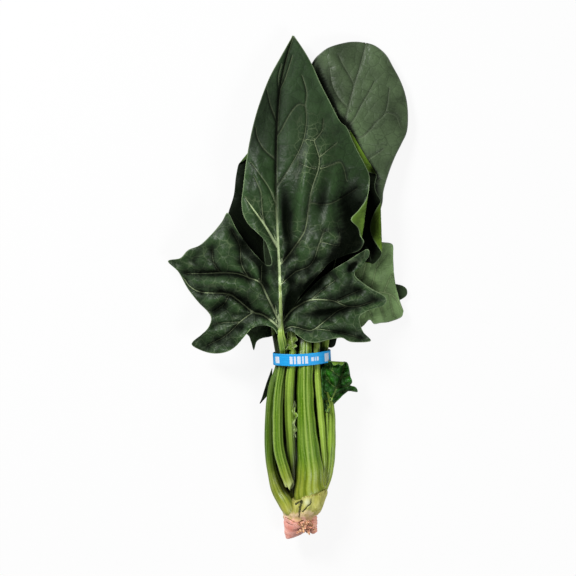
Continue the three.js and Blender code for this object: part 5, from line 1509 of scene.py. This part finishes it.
def band_mesh(steps=260, around=36):
    """A loop whose middle line is a superellipse of exponent 2.5, carrying a section with rounded edges:
    a rounded oblong whose edges lift away from the stalks. The front of the loop sags towards the
    root."""
    turn, section = round_angles(steps), round_angles(around)
    half_width, half_height = BAND_HALF_WIDTH - BAND_THICKNESS / 2, BAND_HALF_HEIGHT - BAND_THICKNESS / 2
    line = np.stack([half_width * signed_power(np.cos(turn), 2 / 2.5),
                     half_height * signed_power(np.sin(turn), 2 / 2.5)], 1)
    line = np.vstack([line, line[:1]])
    run = run_length(line)
    even = np.linspace(0, run[-1], steps + 1)[:-1]
    path = np.stack([np.interp(even, run, line[:, axis]) for axis in range(2)], 1)
    ahead = np.roll(path, -1, 0) - np.roll(path, 1, 0)
    out = np.stack([ahead[:, 1], -ahead[:, 0]], 1) / np.linalg.norm(ahead, axis=1)[:, None]
    across = BAND_WIDTH / 2 * signed_power(np.cos(section), 0.45)
    edge_share = across / (BAND_WIDTH / 2)
    proud = BAND_THICKNESS / 2 * signed_power(np.sin(section), 0.7) + 0.22 * edge_share**4
    ripple = 0.12 * np.sin(even / 5.5)[:, None] * edge_share**3
    x = path[:, :1] + out[:, :1] * (proud + ripple)
    z = path[:, 1:] + out[:, 1:] * (proud + ripple)
    front = ease(path[:, 1:] / BAND_HALF_HEIGHT)
    y = across + 0 * x - 0.9 * front * (1 - (path[:, :1] / BAND_HALF_WIDTH) ** 2) + 0.8 * front
    y, z = turned(y, z, BAND_LEAN)
    x, y = turned(x, y, BAND_TURN)
    points = np.stack([x + BAND_X, y + BAND_Y, z + BAND_Z], -1).reshape(-1, 3)
    faces = side_faces(steps + 1, around)[:, OTHER_WAY] % (steps * around)
    middle = even[np.argmax(path[:, 1] - np.abs(path[:, 0]) * 1e-3)]
    distance = (middle - even + run[-1] / 2) % run[-1] - run[-1] / 2
    uv = np.stack([distance[:, None] + 0 * x, across + 0 * x], -1).reshape(-1, 2) / PLAN_UNIT
    return add_mesh("elastic_band", points, [faces], None, uv)


band = band_mesh()
band.data.materials.append(band_skin())
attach(band, "root")
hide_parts("elastic_band")

# ---- Shade in the bunch --------------------------------------------
# Little light gets down between the stalks and under the margins of the blades, and this shade is
# painted into the finishes. How deep each point lies is worked out once, from the shape of the whole
# bunch, with listed places painted darker or lighter on top, and the finishes of the leaves, stalks and
# crown read it as a point attribute and darken with it.


def reach_map(places, values, size, operation, blank):
    """A grid of 1 mm cells that holds the greatest or least value of the points in each cell and the
    eight round it."""
    cells_of = np.full(size, blank)
    operation.at(cells_of, places, values)
    grown = cells_of.copy()
    for step_y in (-1, 0, 1):
        for step_x in (-1, 0, 1):
            grown = operation(grown, np.roll(cells_of, (step_y, step_x), (0, 1)))
    return grown


# Painted shade: places painted darker than the shape alone says, such as under and beside the front
# leaf's margins, and with less than no depth, painted light instead: (x, y, half length, half width,
# turn from the +Y axis, depth).
PAINTED_SHADE_PLACES = [(35, 24, 15, 4.2, 58, 5), (-21.5, 27, 18, 5.5, -36, 9), (39.2, 13.4, 3.4, 1.7, 45, 5),
               (-15, 108, 24, 8, 14, 1.6), (9.5, 63, 20, 3.2, 8, -2), (-5.4, 6, 36, 1.7, -2, -3.4),
               (-16.5, 41.2, 14, 1.5, -33, -3), (32, 110, 4.5, 2, -24, -3.5), (2.5, -8, 13, 2.8, 26, 4),
               (-1.9, 36, 22, 2.6, -3, 4), (24, 54, 9, 6, 0, 1.3), (40, 55, 10, 5, 10, 2.4),
               (37.5, 33, 6, 5.5, 0, 4.5), (46, 39, 8, 3, 15, -2), (-32, 31, 7, 4, -40, 1.2),
               (-11, 62, 9, 3.5, 0, -2), (11.5, 7, 8, 5, 45, 1.5), (47.8, 85.5, 20, 3.6, -23, -5.5),
               (54, 76, 14, 5, -24, -2), (52.6, 72.5, 5, 1.9, -28, 9), (54, 45, 11, 3, 0, 2),
               (51.2, 42, 14, 2.2, -4, 5), (15, 4, 12, 3, 48, 4), (24, -8, 22, 9, 60, 1),
               (21.5, -82, 22, 2.5, 0, -1.6), (25.6, -97, 22, 2.5, 0, -1.6), (64.5, -4, 17, 6.5, 0, 5)]

# The bunch in cells of 1 mm: as many along y, along x and up, with the origin in the middle of the
# first two.
MAP_LONG, MAP_WIDE, MAP_HIGH = 320, 160, 48
# Below OPEN_BELOW_Y the map counts nothing as higher than OPEN_TOP, so that the frilled bases of the
# leaves shade no stalk.
OPEN_BELOW_Y, OPEN_TOP = -30, 27.0

clouds = []
for piece in pieces:
    flat = np.empty(len(piece.data.vertices) * 3, np.float32)
    piece.data.vertices.foreach_get("co", flat)
    clouds.append(flat.reshape(-1, 3).astype(float) / MM)
cloud = np.concatenate(clouds)
x, y, z = cloud.T
row, column = (y + MAP_LONG // 2).astype(int), (x + MAP_WIDE // 2).astype(int)
storey = np.clip(z, 0, MAP_HIGH - 1).astype(int)
top_level = reach_map((row, column), z, (MAP_LONG, MAP_WIDE), np.maximum, -1.0)
open_rows = np.arange(MAP_LONG)[:, None] < MAP_LONG // 2 + OPEN_BELOW_Y
top_level = np.where(open_rows, np.minimum(top_level, OPEN_TOP), top_level)
outline_left = reach_map((row, storey), x, (MAP_LONG, MAP_HIGH), np.minimum, 90.0)
outline_right = reach_map((row, storey), x, (MAP_LONG, MAP_HIGH), np.maximum, -90.0)
hollow = np.zeros(len(cloud))
for reach, weight in ((6, 1.0), (3, 0.6)):
    total, count = np.zeros_like(top_level), np.zeros_like(top_level)
    for step_y in range(-reach, reach + 1):
        for step_x in range(-reach, reach + 1):
            if step_x**2 + step_y**2 <= reach**2 + 1:
                moved = np.roll(top_level, (step_y, step_x), (0, 1))
                total += np.where(moved > 0, moved, 0)
                count += moved > 0
    hollow += weight * ((total / np.maximum(count, 1))[row, column] - z)
side_gap = np.minimum(x - outline_left[row, storey], outline_right[row, storey] - x)
hollow = np.minimum(np.minimum(hollow, z), side_gap * 0.8)
# Painted shade and painted light of the listed places, added to the depth.
hollow += folds(x, y, PAINTED_SHADE_PLACES)
start = 0
for piece, points in zip(pieces, clouds):
    layer = piece.data.attributes.new("hollow", "FLOAT", "POINT")
    layer.data.foreach_set("value", hollow[start:start + len(points)].astype(np.float32))
    start += len(points)
